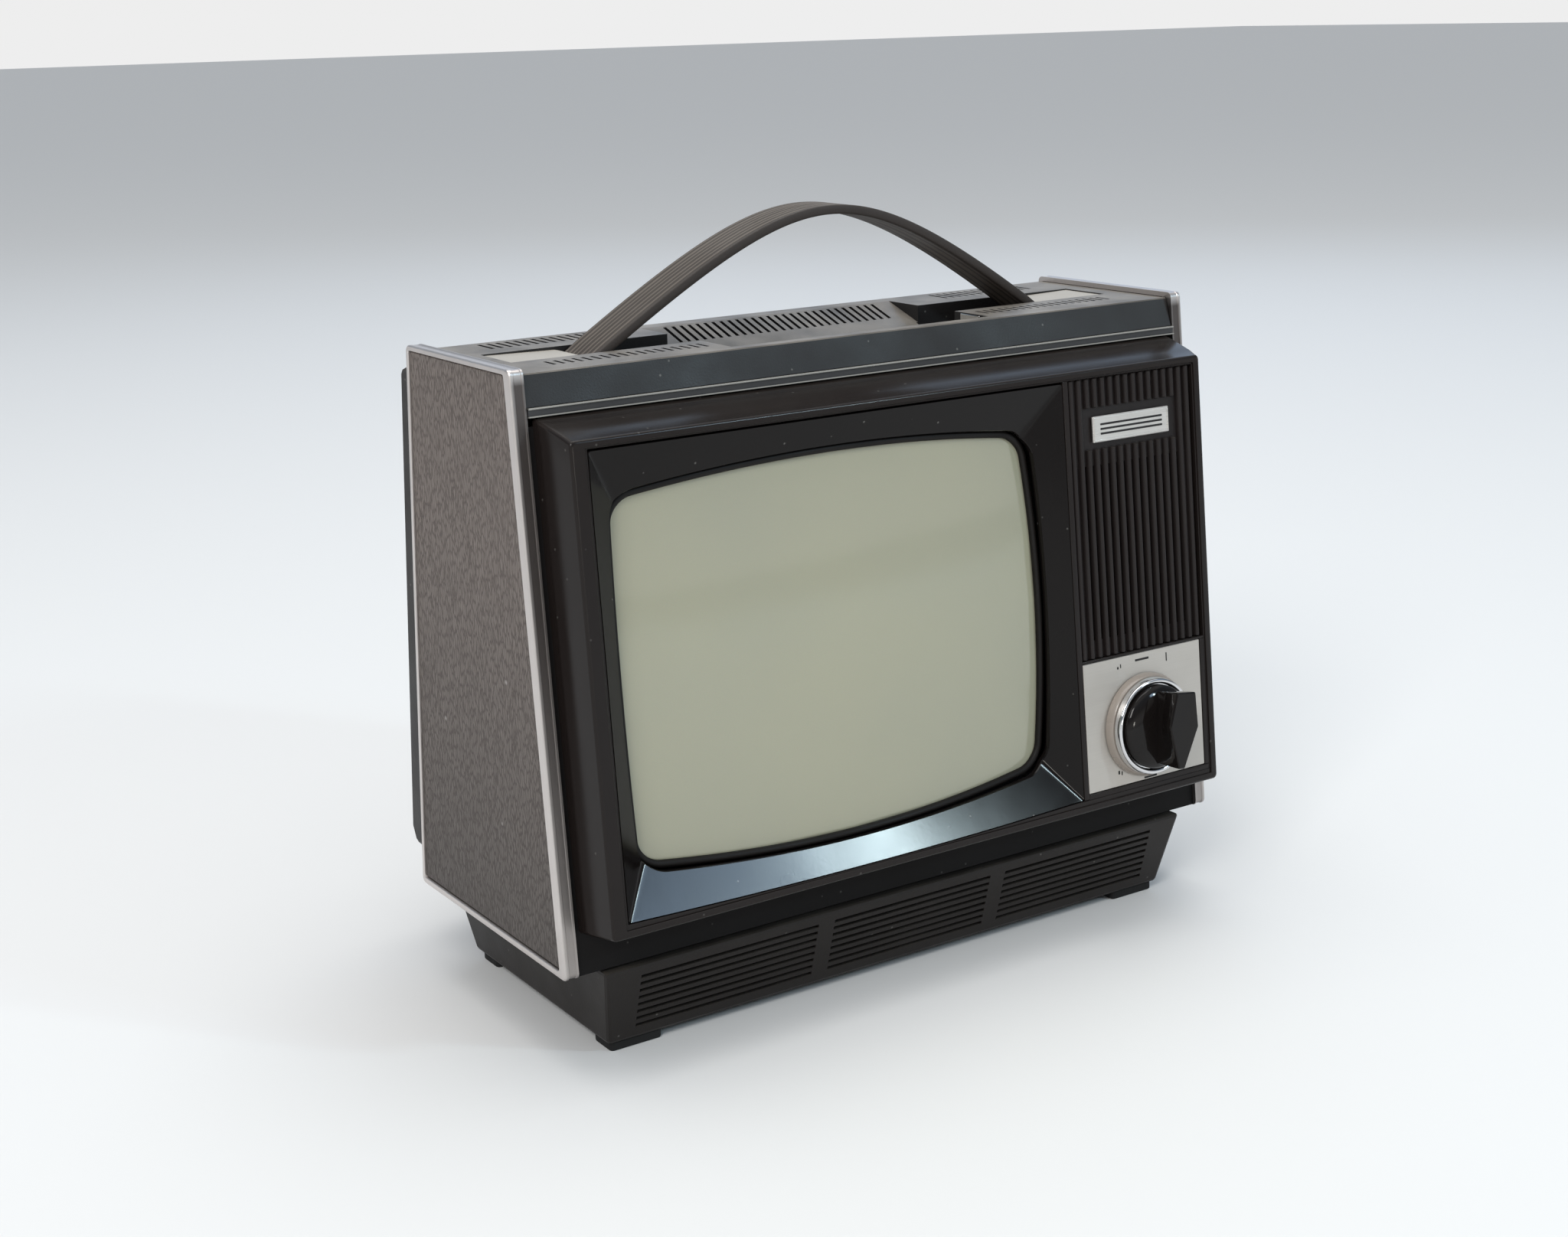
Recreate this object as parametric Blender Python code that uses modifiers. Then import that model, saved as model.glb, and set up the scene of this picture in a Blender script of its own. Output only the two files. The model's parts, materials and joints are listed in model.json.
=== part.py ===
"""Portable television with sloping front, leatherette side panels and a strap handle.

Drawn in millimetres and scaled to metres.  X runs to the right seen from the front,
Y runs from the front to the back, Z is up.  The drawing zero is the bottom front corner
of the side panels on the middle plane; one lift and one shift put the feet on Z = 0 and
the middle of the outline on X = Y = 0.
"""
import math

import bmesh
import bpy
import numpy as np
from mathutils import Matrix, Vector

for old in list(bpy.data.objects):
    bpy.data.objects.remove(old, do_unlink=True)

# ---------------------------------------------------------------- driving dimensions (mm)
MM = 0.001
GAP = 0.3                   # clearance between pieces that touch
LIFT = 49.2                 # feet to the bottom of the side panels
MID_Y = 94.0                # middle of the outline from front to back

CASE_HALF = 208.0           # outer faces of the side frames
BODY_HALF = 199.9           # moulded body between the side frames
TRIM_T = 7.7               # thickness of the side frames
GRIP_LEAN = math.radians(8.0)  # the grip at rest leans to the right
TOP_Z = 289.0               # top plate
PANEL = [(0.0, 0.0), (27.6, 291.9), (140.5, 291.8), (161.7, 0.0)]

TILT = math.radians(5.11)   # the front leans back
FRONT_Y, FRONT_Z = -23.8, 24.9
BEZEL_HALF, BEZEL_H, BEZEL_D = 193.75, 237.7, 28.0

SCREEN_X, SCREEN_V = -44.5, 117.5
SCREEN_HW, SCREEN_HV = 126.0, 96.0
SAG_X, SAG_V = 1100.0, 900.0
GLASS_D = 7.8

KNOB_X, KNOB_V = 142.5, 41.0
SPEAKER_X, SPEAKER_V = 145.0, 139.0

BASE_TOP, BASE_LOW = 186.6, 180.4
BASE_H = 44.4

REAR_TILT = math.radians(5.04)
REAR_Y, REAR_Z = 210.6, 14.0

WELL_FRONT, WELL_BACK = 67.0, 100.0
WELL_FLOOR = 267.8
TROUGH_HALF = 80.3

# ---------------------------------------------------------------- collections and materials
scene = bpy.context.scene
PARTS = bpy.data.collections.new("portable_television")
CUTTERS = bpy.data.collections.new("cutters")
scene.collection.children.link(PARTS)
scene.collection.children.link(CUTTERS)


def material(name, colour, roughness, metallic=0.0):
    mat = bpy.data.materials.new(name)
    mat.use_nodes = True
    shader = mat.node_tree.nodes["Principled BSDF"]
    shader.inputs["Base Color"].default_value = (*colour, 1.0)
    shader.inputs["Roughness"].default_value = roughness
    shader.inputs["Metallic"].default_value = metallic
    mat.diffuse_color = (*colour, 1.0)
    return mat


# ---------------------------------------------------------------- building blocks
def mesh_object(name, verts, faces, mat=None, parent=None, origin=(0.0, 0.0, 0.0), smooth=None):
    """Object from points in mm; faces are turned outward."""
    mesh = bpy.data.meshes.new(name)
    points = (np.asarray(verts, float) * MM).tolist()
    mesh.from_pydata(points, [], [list(map(int, f)) for f in faces])
    bm = bmesh.new()
    bm.from_mesh(mesh)
    bmesh.ops.recalc_face_normals(bm, faces=bm.faces)
    bm.to_mesh(mesh)
    bm.free()
    if smooth is not None:
        mesh.shade_smooth()
        mesh.set_sharp_from_angle(angle=math.radians(smooth))
    obj = bpy.data.objects.new(name, mesh)
    obj.location = tuple(c * MM for c in origin)
    obj.parent = parent
    if mat is None:
        CUTTERS.objects.link(obj)
        obj.hide_render = True
        obj.display_type = "WIRE"
    else:
        mesh.materials.append(mat)
        PARTS.objects.link(obj)
    return obj


def prism_data(outline, lo, hi, axis):
    """Outline carried from lo to hi; the pair is (y, z), (x, z) or (x, y) for axis 0, 1, 2."""
    n = len(outline)
    verts = []
    for level in (lo, hi):
        for a, b in outline:
            point = [a, b]
            point.insert(axis, level)
            verts.append(point)
    faces = [list(range(n)), list(range(n, 2 * n))]
    faces += [[i, (i + 1) % n, n + (i + 1) % n, n + i] for i in range(n)]
    return verts, faces


def prism(name, outline, lo, hi, axis, **kw):
    return mesh_object(name, *prism_data(outline, lo, hi, axis), **kw)


def boxes(name, spans, **kw):
    """One mesh of separate boxes, each given as (x0, x1, y0, y1, z0, z1)."""
    verts, faces = [], []
    for x0, x1, y0, y1, z0, z1 in spans:
        v, f = prism_data([(x0, y0), (x1, y0), (x1, y1), (x0, y1)], z0, z1, 2)
        faces += [[i + len(verts) for i in face] for face in f]
        verts += v
    return mesh_object(name, verts, faces, **kw)


def frustum(name, low, high, axis, **kw):
    """Two rectangles (a0, a1, b0, b1, level) joined by flat sides."""
    verts = []
    for a0, a1, b0, b1, level in (low, high):
        for a, b in ((a0, b0), (a1, b0), (a1, b1), (a0, b1)):
            point = [a, b]
            point.insert(axis, level)
            verts.append(point)
    faces = [[0, 1, 2, 3], [4, 5, 6, 7]]
    faces += [[i, (i + 1) % 4, 4 + (i + 1) % 4, 4 + i] for i in range(4)]
    return mesh_object(name, verts, faces, **kw)


def turned(name, profile, segments, closed=False, squash=1.0, **kw):
    """Profile (radius, height) turned about the local Y axis; a zero radius closes the end."""
    verts, rings = [], []
    angles = np.linspace(0.0, 2.0 * math.pi, segments, endpoint=False)
    for r, h in profile:
        if r < 1e-6:
            rings.append([len(verts)])
            verts.append([0.0, h, 0.0])
        else:
            rings.append(list(range(len(verts), len(verts) + segments)))
            verts += [[r * math.cos(a), h, squash * r * math.sin(a)] for a in angles]
    faces = []
    pairs = list(zip(rings[:-1], rings[1:])) + ([(rings[-1], rings[0])] if closed else [])
    for lower, upper in pairs:
        for i in range(segments):
            j = (i + 1) % segments
            quad = [lower[i % len(lower)], lower[j % len(lower)],
                    upper[j % len(upper)], upper[i % len(upper)]]
            faces.append(list(dict.fromkeys(quad)))
    return mesh_object(name, verts, faces, **kw)


def lofted(name, loops, closed=False, caps=False, **kw):
    """Rings of equal length joined in order; a single point or a cap closes an end."""
    verts, rings = [], []
    for loop in loops:
        loop = np.atleast_2d(np.asarray(loop, float))
        rings.append(list(range(len(verts), len(verts) + len(loop))))
        verts += loop.tolist()
    n = max(len(r) for r in rings)
    faces = []
    pairs = list(zip(rings[:-1], rings[1:])) + ([(rings[-1], rings[0])] if closed else [])
    for a, b in pairs:
        for i in range(n):
            j = (i + 1) % n
            quad = [a[i % len(a)], a[j % len(a)], b[j % len(b)], b[i % len(b)]]
            faces.append(list(dict.fromkeys(quad)))
    if caps:
        faces += [rings[0], rings[-1]]
    return mesh_object(name, verts, faces, **kw)


def cut(target, cutter, operation="DIFFERENCE"):
    mod = target.modifiers.new(operation.lower() + "_" + cutter.name, "BOOLEAN")
    mod.operation = operation
    mod.object = cutter
    mod.solver = "EXACT"
    return target


def round_edges(target, width, segments=2, angle=40.0):
    mod = target.modifiers.new("rounded_edges", "BEVEL")
    mod.width = width * MM
    mod.segments = segments
    mod.limit_method = "ANGLE"
    mod.angle_limit = math.radians(angle)
    return target


def inset(outline, distances):
    """Convex outline moved inward, one distance per side."""
    pts = [np.array(p, float) for p in outline]
    n = len(pts)
    lines = []
    centre = sum(pts) / n
    for i in range(n):
        a, b = pts[i], pts[(i + 1) % n]
        t = (b - a) / np.linalg.norm(b - a)
        normal = np.array([-t[1], t[0]])
        if np.dot(centre - a, normal) < 0:
            normal = -normal
        lines.append((a + normal * distances[i], t))
    out = []
    for i in range(n):
        (p, t), (q, s) = lines[i - 1], lines[i]
        k = np.linalg.solve(np.array([t, -s]).T, q - p)
        out.append(tuple(p + t * k[0]))
    return out


def rounded_outline(outline, radius, steps=3):
    """Convex outline with each corner replaced by an arc of straight steps."""
    pts = [np.array(p, float) for p in outline]
    out = []
    for i, p in enumerate(pts):
        a = (pts[i - 1] - p) / np.linalg.norm(pts[i - 1] - p)
        b = (pts[(i + 1) % len(pts)] - p) / np.linalg.norm(pts[(i + 1) % len(pts)] - p)
        half = math.acos(np.clip(np.dot(a, b), -1, 1)) / 2
        reach = radius / math.tan(half)
        centre = p + (a + b) / np.linalg.norm(a + b) * radius / math.sin(half)
        start, end = p + a * reach - centre, p + b * reach - centre
        for k in range(steps + 1):
            w = k / steps
            d = start * (1 - w) + end * w
            out.append(tuple(centre + d / np.linalg.norm(d) * radius))
    return out


def barrel(cx, cv, hw, hv, radius, bulge_x=0.0, bulge_v=0.0, side=6, corner=4):
    """Rounded rectangle whose sides bow outward, as (x, v) pairs."""
    pts = []
    quarter = [(1, 1, 0), (-1, 1, 90), (-1, -1, 180), (1, -1, 270)]
    for sx, sv, start in quarter:
        for k in range(corner + 1):
            a = math.radians(start + 90.0 * k / corner)
            pts.append((sx * (hw - radius) + radius * math.cos(a),
                        sv * (hv - radius) + radius * math.sin(a)))
    full = []
    for i, p in enumerate(pts):
        q = pts[(i + 1) % len(pts)]
        full.append(p)
        if (i + 1) % (corner + 1) == 0:
            full += [(p[0] + (q[0] - p[0]) * k / side, p[1] + (q[1] - p[1]) * k / side)
                     for k in range(1, side)]
    return [(cx + x * (1 - bulge_x / hw * (v / hv) ** 2), cv + v * (1 - bulge_v / hv * (x / hw) ** 2))
            for x, v in full]


def oval(cx, cv, hw, hv, power, count=40):
    """Superellipse, as (x, v) pairs."""
    out = []
    for k in range(count):
        a = 2 * math.pi * (k + 0.5) / count
        c, s = math.cos(a), math.sin(a)
        out.append((cx + hw * math.copysign(abs(c) ** (2 / power), c),
                    cv + hv * math.copysign(abs(s) ** (2 / power), s)))
    return out


def at_depth(pairs, depth):
    return [(x, depth(x, v) if callable(depth) else depth, v) for x, v in pairs]


def empty(name, location, rotation=(0.0, 0.0, 0.0), parent=None):
    obj = bpy.data.objects.new(name, None)
    obj.empty_display_size = 0.02
    obj.location = tuple(c * MM for c in location)
    obj.rotation_euler = rotation
    obj.parent = parent
    PARTS.objects.link(obj)
    return obj


# ---------------------------------------------------------------- frames of reference
BODY = empty("body_datum", (0.0, -MID_Y, LIFT))
FRONT = empty("front_datum", (0.0, FRONT_Y, FRONT_Z), (-TILT, 0.0, 0.0), BODY)
REAR = empty("rear_datum", (0.0, REAR_Y, REAR_Z), (REAR_TILT, 0.0, 0.0), BODY)

# ---------------------------------------------------------------- materials
M_TOP = material("top_plate_grey_brown", (0.115, 0.105, 0.093), 0.55)
M_BODY = material("body_dark_plastic", (0.022, 0.020, 0.019), 0.45)
M_BEZEL = material("bezel_gloss_plastic", (0.016, 0.014, 0.013), 0.22)
M_MASK = material("mask_gloss_plastic", (0.016, 0.015, 0.015), 0.18)
M_GASKET = material("gasket_black", (0.008, 0.007, 0.007), 0.6)
M_GLASS = material("screen_glass_grey", (0.36, 0.36, 0.28), 0.12)
M_PANEL_L = material("leatherette_left", (0.075, 0.066, 0.060), 0.6)
M_PANEL_R = material("leatherette_right", (0.075, 0.066, 0.060), 0.6)
M_TRIM_L = material("aluminium_left", (0.55, 0.55, 0.57), 0.35, 1.0)
M_TRIM_R = material("aluminium_right", (0.55, 0.55, 0.57), 0.35, 1.0)
M_LEDGE = material("ledge_grey", (0.30, 0.31, 0.32), 0.4)
M_GRILLE = material("grille_plastic", (0.016, 0.013, 0.012), 0.4)
M_NAME = material("name_plate_silver", (0.50, 0.48, 0.46), 0.35, 0.8)
M_CONTROL = material("control_plate_silver", (0.50, 0.48, 0.44), 0.35, 0.8)
M_KNOB = material("knob_gloss_black", (0.010, 0.009, 0.009), 0.12)
M_RING = material("skirt_ivory", (0.62, 0.58, 0.48), 0.3)
M_CHROME = material("chrome_ring", (0.75, 0.75, 0.76), 0.08, 1.0)
M_STEEL = material("zinc_steel", (0.52, 0.52, 0.50), 0.35, 1.0)
M_BAND = material("tension_band_steel", (0.45, 0.45, 0.44), 0.4, 1.0)
M_COPPER = material("winding_copper", (0.50, 0.20, 0.08), 0.4, 0.8)
M_FERRITE = material("ferrite_grey", (0.05, 0.05, 0.055), 0.7)
M_SOCKET = material("phenolic_brown", (0.12, 0.05, 0.025), 0.5)
M_BOARD = material("board_laminate", (0.22, 0.13, 0.05), 0.6)
M_CAN = material("tuner_can_tinplate", (0.60, 0.60, 0.58), 0.3, 1.0)
M_IRON = material("transformer_laminations", (0.09, 0.09, 0.10), 0.5, 0.6)
M_FLY = material("line_transformer_black", (0.02, 0.02, 0.022), 0.5)
M_CONE = material("speaker_cone_paper", (0.03, 0.028, 0.026), 0.9)
M_BASKET = material("speaker_basket_steel", (0.40, 0.40, 0.42), 0.45, 1.0)
M_REAR = material("rear_cover_plastic", (0.026, 0.024, 0.023), 0.55)
M_BASE = material("base_plastic", (0.016, 0.014, 0.013), 0.5)
M_FOOT = material("foot_rubber", (0.010, 0.010, 0.010), 0.8)
M_STRAP = material("strap_vinyl", (0.050, 0.042, 0.037), 0.55)
M_GUIDE = material("strap_guide_beige", (0.30, 0.27, 0.22), 0.4)
M_CLIP = material("strap_clip_bright", (0.70, 0.69, 0.66), 0.25, 1.0)
M_RKNOB = material("rear_knob_black", (0.015, 0.015, 0.015), 0.4)
M_INLET = material("inlet_black", (0.012, 0.012, 0.012), 0.5)
M_BRASS = material("socket_nickel", (0.55, 0.53, 0.48), 0.3, 1.0)
M_SCREW = material("screw_zinc", (0.50, 0.50, 0.48), 0.35, 1.0)

# ---------------------------------------------------------------- side frames and panels
SIDES = ((-1, "left", M_TRIM_L, M_PANEL_L), (1, "right", M_TRIM_R, M_PANEL_R))
for side, name, m_trim, m_panel in SIDES:
    lo, hi = sorted((side * CASE_HALF, side * (CASE_HALF - TRIM_T)))
    frame = prism("side_trim_" + name, rounded_outline(PANEL, 3.0), lo, hi, 0, mat=m_trim, parent=BODY)
    round_edges(frame, 0.8, 2, 60.0)
    window = rounded_outline(inset(PANEL, (6.0, 2.6, 3.0, 4.0)), 1.5)
    cut(frame, prism("window_" + name, window, lo - 5, hi + 5, 0, parent=BODY))
    lo, hi = sorted((side * (CASE_HALF - 0.9), side * (CASE_HALF - 6.9)))
    insert = rounded_outline(inset(PANEL, (6.3, 2.9, 3.3, 4.3)), 1.3)
    round_edges(prism("side_panel_" + name, insert, lo, hi, 0, mat=m_panel, parent=BODY), 0.6, 1, 60.0)

# ---------------------------------------------------------------- body shell
shell_outline = [(7.2, 0.3), (32.6, 264.0), (141.5, 264.0), (160.3, 0.3)]
shell = prism("body_shell", shell_outline, -BODY_HALF, BODY_HALF, 0, mat=M_BODY, parent=BODY)
cut(shell, boxes("shell_hollow", [(-197.3, 197.3, -40.0, 260.0, 2.9, 300.0)], parent=BODY))
floor_vents = [(x, x + 3.0, 60.0, 110.0, -5.0, 6.0) for x in np.arange(-130.0, 131.0, 13.0)]
cut(shell, boxes("shell_floor_vents", floor_vents, parent=BODY))

# ---------------------------------------------------------------- front frame behind the bezel
FF0, FF1 = BEZEL_D + GAP, BEZEL_D + 4.3
front_frame = boxes("front_frame", [(-BODY_HALF, BODY_HALF, FF0, FF1, -22.0, 243.5)],
                    mat=M_BODY, parent=FRONT)
cut(front_frame, boxes("front_frame_windows", [
    (-182.2, 93.2, 20.0, 40.0, 9.2, 225.8),
    (110.0, 180.0, 20.0, 40.0, 86.0, 192.0),
    (118.0, 168.0, 20.0, 40.0, 16.0, 66.0)], parent=FRONT))

# ---------------------------------------------------------------- bezel
MX0, MX1, MV0, MV1 = -184.2, 97.2, 7.2, 231.9
BOW = 2.4


def bowed(x0, x1, v0, v1, bow, steps=10):
    """Rectangle whose lower side bows downward, as (x, v) pairs."""
    low = [(x0 + (x1 - x0) * k / steps, v0 - bow * (1 - (2 * k / steps - 1) ** 2))
           for k in range(steps + 1)]
    return low + [(x1, v1), (x0, v1)]


bezel = frustum("bezel", (-BEZEL_HALF, BEZEL_HALF, 0.0, BEZEL_H, 0.0),
                (-197.3, 197.3, -1.5, 247.2, BEZEL_D), 1, mat=M_BEZEL, parent=FRONT)
round_edges(bezel, 1.6, 2, 40.0)
cut(bezel, boxes("bezel_rebate", [(-186.0, 189.2, -5.0, 1.0, 4.0, 233.8)], parent=FRONT))
mask_gap = bowed(MX0 - GAP, MX1 + GAP, MV0 - GAP, MV1 + GAP, BOW)
cut(bezel, prism("bezel_mask_opening", mask_gap, -4.0, 40.0, 1, parent=FRONT))
cut(bezel, boxes("bezel_grille_opening", [(100.9, 188.6, -4.0, 40.0, 82.4, 233.0)], parent=FRONT))
cut(bezel, boxes("bezel_control_recess", [(101.0, 185.5, -4.0, 2.7, 9.5, 81.0)], parent=FRONT))
cut(bezel, boxes("bezel_control_back", [(103.0, 188.0, 6.0, 40.0, 8.0, 80.0)], parent=FRONT))
cut(bezel, turned("bezel_shaft_hole", [(0, -4), (7, -4), (7, 12), (0, 12)], 24,
                  parent=FRONT, origin=(KNOB_X, 0, KNOB_V)))

# ---------------------------------------------------------------- sloping mask round the screen
reach = 12.5 / 10.5
inner_rect = (MX0 + 14.4 * reach, MX1 - 17.3 * reach, MV0 + 22.0 * reach, MV1 - 21.6 * reach)
mask_loops = [at_depth(bowed(MX0, MX1, MV0, MV1, BOW), 1.2), at_depth(bowed(*inner_rect, 0.0), 13.7),
              at_depth(bowed(*inner_rect, 0.0), 17.0), at_depth(bowed(MX0, MX1, MV0, MV1, BOW), 4.8)]
mask = lofted("screen_mask", mask_loops, closed=True, mat=M_MASK, parent=FRONT)
hole = barrel(SCREEN_X, SCREEN_V, SCREEN_HW + 3.6, SCREEN_HV + 3.6, 15.0, 3.6, 8.6)
cut(mask, prism("mask_hole", hole, -10.0, 30.0, 1, parent=FRONT))


def glass_depth(x, v, start=GLASS_D):
    return start + (x - SCREEN_X) ** 2 / (2 * SAG_X) + (v - SCREEN_V) ** 2 / (2 * SAG_V)


outer = barrel(SCREEN_X, SCREEN_V, SCREEN_HW + 3.2, SCREEN_HV + 3.2, 14.6, 3.6, 8.6)
inner = barrel(SCREEN_X, SCREEN_V, SCREEN_HW, SCREEN_HV, 11.5, 3.6, 8.6)
lofted("screen_gasket", [
    at_depth(outer, lambda x, v: glass_depth(x, v, GLASS_D - 2.6)),
    at_depth(inner, lambda x, v: glass_depth(x, v, GLASS_D - 2.2)),
    at_depth(inner, lambda x, v: glass_depth(x, v, GLASS_D - GAP)),
    at_depth(outer, lambda x, v: glass_depth(x, v, GLASS_D - GAP))],
       closed=True, mat=M_GASKET, parent=FRONT)

# ---------------------------------------------------------------- picture tube
tube_loops = [[(SCREEN_X, GLASS_D, SCREEN_V)]]
for share in (0.2, 0.4, 0.6, 0.8, 0.93, 1.0):
    face_ring = oval(SCREEN_X, SCREEN_V, 131.5 * share, 101.5 * share, 2.6 + 3.9 * share)
    tube_loops.append(at_depth(face_ring, glass_depth))
funnel = [(26.0, 132.0, 102.0, 6.5), (40.0, 131.5, 101.5, 6.2), (58.0, 119.0, 92.0, 4.6),
          (82.0, 92.0, 73.0, 3.4), (106.0, 60.0, 51.0, 2.6), (126.0, 36.0, 33.0, 2.2),
          (142.0, 18.0, 17.5, 2.0), (154.0, 10.5, 10.5, 2.0), (226.0, 10.0, 10.0, 2.0)]
for depth, hw, hv, power in funnel:
    tube_loops.append(at_depth(oval(SCREEN_X, SCREEN_V, hw, hv, power), depth))
for depth, hw, hv, power in reversed(funnel):
    wall = 2.0 if hw < 30 else 4.0
    step_back = 2.0 if hw > 120 else 0.0
    tube_loops.append(at_depth(oval(SCREEN_X, SCREEN_V, hw - wall, hv - wall, power), depth + step_back))
for share in (0.95, 0.6, 0.3):
    inner_ring = oval(SCREEN_X, SCREEN_V, 127.0 * share, 97.0 * share, 2.6 + 3.9 * share)
    tube_loops.append(at_depth(inner_ring, lambda x, v: glass_depth(x, v, GLASS_D + 7.0)))
tube_loops.append([(SCREEN_X, GLASS_D + 7.0, SCREEN_V)])
lofted("picture_tube", tube_loops, mat=M_GLASS, parent=FRONT, smooth=50.0)

band = prism("tension_band", oval(SCREEN_X, SCREEN_V, 134.4, 104.4, 6.5), 26.5, 38.0, 1,
             mat=M_BAND, parent=FRONT)
lugs = boxes("band_lugs", [(SCREEN_X + sx * 130 - 14, SCREEN_X + sx * 130 + 14, 33.0, 35.0,
                            SCREEN_V + sv * 101 - 14, SCREEN_V + sv * 101 + 14)
                           for sx in (-1, 1) for sv in (-1, 1)], parent=FRONT)
cut(band, lugs, "UNION")
cut(band, prism("band_bore", oval(SCREEN_X, SCREEN_V, 132.5, 102.5, 6.5), 20.0, 50.0, 1, parent=FRONT))

AXIS = empty("tube_axis", (SCREEN_X, 0.0, SCREEN_V), parent=FRONT)
turned("deflection_coils", [(40.0, 124.0), (45.0, 124.0), (46.0, 127.0), (33.0, 140.0), (22.0, 152.0),
                            (19.0, 168.0), (11.2, 168.0), (11.2, 155.5), (19.5, 142.5)], 32,
       closed=True, mat=M_COPPER, parent=AXIS, smooth=35.0)
turned("yoke_core", [(42.0, 131.5), (46.0, 131.5), (40.0, 150.0), (30.0, 164.0), (20.4, 164.0),
                     (22.8, 152.2), (33.4, 140.2)], 32, closed=True, mat=M_FERRITE, parent=AXIS, smooth=35.0)
turned("tube_socket", [(0, 226.4), (17.0, 226.4), (18.0, 227.4), (18.0, 235.0), (16.5, 236.5), (0, 236.5)],
       24, mat=M_SOCKET, parent=AXIS, smooth=35.0)

# ---------------------------------------------------------------- speaker grille and name plate
RIB_PITCH, RIB_W, RIB_TOP, RIB_FLOOR = 5.42, 3.0, 0.9, 3.4
G0, G1, GV0, GV1 = 101.2, 188.3, 82.7, 232.7
section = [(G0, 5.4), (G0, RIB_FLOOR)]
rib_centres = [G0 + 2.3 + RIB_PITCH * i for i in range(16)]
for centre in rib_centres:
    section += [(centre - RIB_W / 2, RIB_FLOOR), (centre - RIB_W / 2 + 0.5, RIB_TOP),
                (centre + RIB_W / 2 - 0.5, RIB_TOP), (centre + RIB_W / 2, RIB_FLOOR)]
section += [(G1, RIB_FLOOR), (G1, 5.4)]
grille = prism("speaker_grille", section, GV0, GV1, 2, mat=M_GRILLE, parent=FRONT)
cut(grille, boxes("grille_recess", [(113.6, 174.2, -2.0, RIB_FLOOR - 0.2, 195.0, 216.6)], parent=FRONT))
cut(grille, boxes("grille_slots", [(c + RIB_PITCH / 2 - 0.85, c + RIB_PITCH / 2 + 0.85,
                                    -2.0, 9.0, 92.0, 186.0) for c in rib_centres[1:14]], parent=FRONT))
round_edges(boxes("name_plate", [(117.0, 170.6, 1.3, RIB_FLOOR - 0.5, 198.3, 212.2)],
                  mat=M_NAME, parent=FRONT), 0.35, 1)

SPEAKER = empty("speaker_axis", (SPEAKER_X, FF1 + GAP, SPEAKER_V), parent=FRONT)
turned("speaker_basket", [(40.0, 0.0), (40.0, 2.0), (36.0, 2.0), (34.5, 8.0), (21.0, 22.0), (13.0, 22.0),
                          (13.0, 20.0), (19.8, 20.0), (32.5, 7.0), (33.8, 1.8), (33.8, 0.0)], 32,
       closed=True, squash=1.28, mat=M_BASKET, parent=SPEAKER, smooth=30.0)
turned("speaker_cone", [(0.0, 17.2), (11.0, 15.6), (31.5, 0.6), (33.0, 0.6), (33.2, 1.4), (12.0, 17.2),
                        (0.0, 18.8)], 32, squash=1.28, mat=M_CONE, parent=SPEAKER, smooth=30.0)
turned("speaker_magnet", [(0, 22.4), (21.0, 22.4), (21.5, 23.0), (21.5, 33.5), (20.5, 34.5), (0, 34.5)], 28,
       mat=M_FERRITE, parent=SPEAKER, smooth=30.0)

# ---------------------------------------------------------------- control plate, selector and tuner
plate = boxes("control_plate", [(101.3, 185.2, 1.2, 2.4, 9.8, 80.7)], mat=M_CONTROL, parent=FRONT)
round_edges(plate, 0.3, 1)
cut(plate, turned("control_plate_hole", [(0, -4), (6.5, -4), (6.5, 12), (0, 12)], 24,
                  parent=FRONT, origin=(KNOB_X, 0, KNOB_V)))
KNOB = empty("selector_axis", (KNOB_X, 0.0, KNOB_V), parent=FRONT)
turned("tuning_skirt", [(5.5, 0.8), (27.8, 0.8), (28.8, -0.2), (28.8, -3.0), (27.6, -4.0), (5.5, -4.0)], 40,
       closed=True, mat=M_RING, parent=KNOB, smooth=30.0)
turned("chrome_ring", [(19.0, -4.3), (26.2, -4.3), (26.6, -5.0), (26.0, -7.6), (24.6, -8.8), (23.6, -8.8),
                       (23.3, -7.4), (23.3, -6.6), (19.0, -6.6)], 40, closed=True, mat=M_CHROME, parent=KNOB,
       smooth=30.0)
selector = turned("selector_knob", [(0, -7.0), (22.9, -7.0), (22.9, -10.0), (21.9, -11.8), (15.5, -13.4),
                                    (0, -14.0)], 40, mat=M_KNOB, parent=KNOB, smooth=30.0)
grip_turn = Matrix.Rotation(GRIP_LEAN, 3, "Y")
grip = [[tuple(grip_turn @ Vector(p)) for p in ((-toe, y, -low), (toe, y, -low), (mid, y, 3.0), (top, y, high),
                                           (-top, y, high), (-mid, y, 3.0))]
        for y, toe, mid, top, low, high in ((-9.0, 2.2, 5.0, 4.4, 19.5, 19.5), (-18.5, 2.0, 5.4, 4.4, 19.4, 20.4),
                                            (-26.0, 1.8, 9.4, 6.2, 19.6, 21.4), (-29.6, 1.8, 10.0, 6.5, 19.6, 21.6),
                                            (-30.3, 1.4, 9.2, 5.9, 18.8, 20.8))]
cut(selector, lofted("selector_grip", grip, caps=True, parent=KNOB), "UNION")
turned("selector_shaft", [(0, -6.6), (3.0, -6.6), (3.0, 33.0), (0, 33.0)], 16,
       mat=M_STEEL, parent=KNOB, smooth=30.0)
tuner = boxes("tuner_can", [(115.0, 171.0, 33.4, 96.0, 12.0, 72.0)], mat=M_CAN, parent=FRONT)
round_edges(tuner, 1.0, 1)

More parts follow.
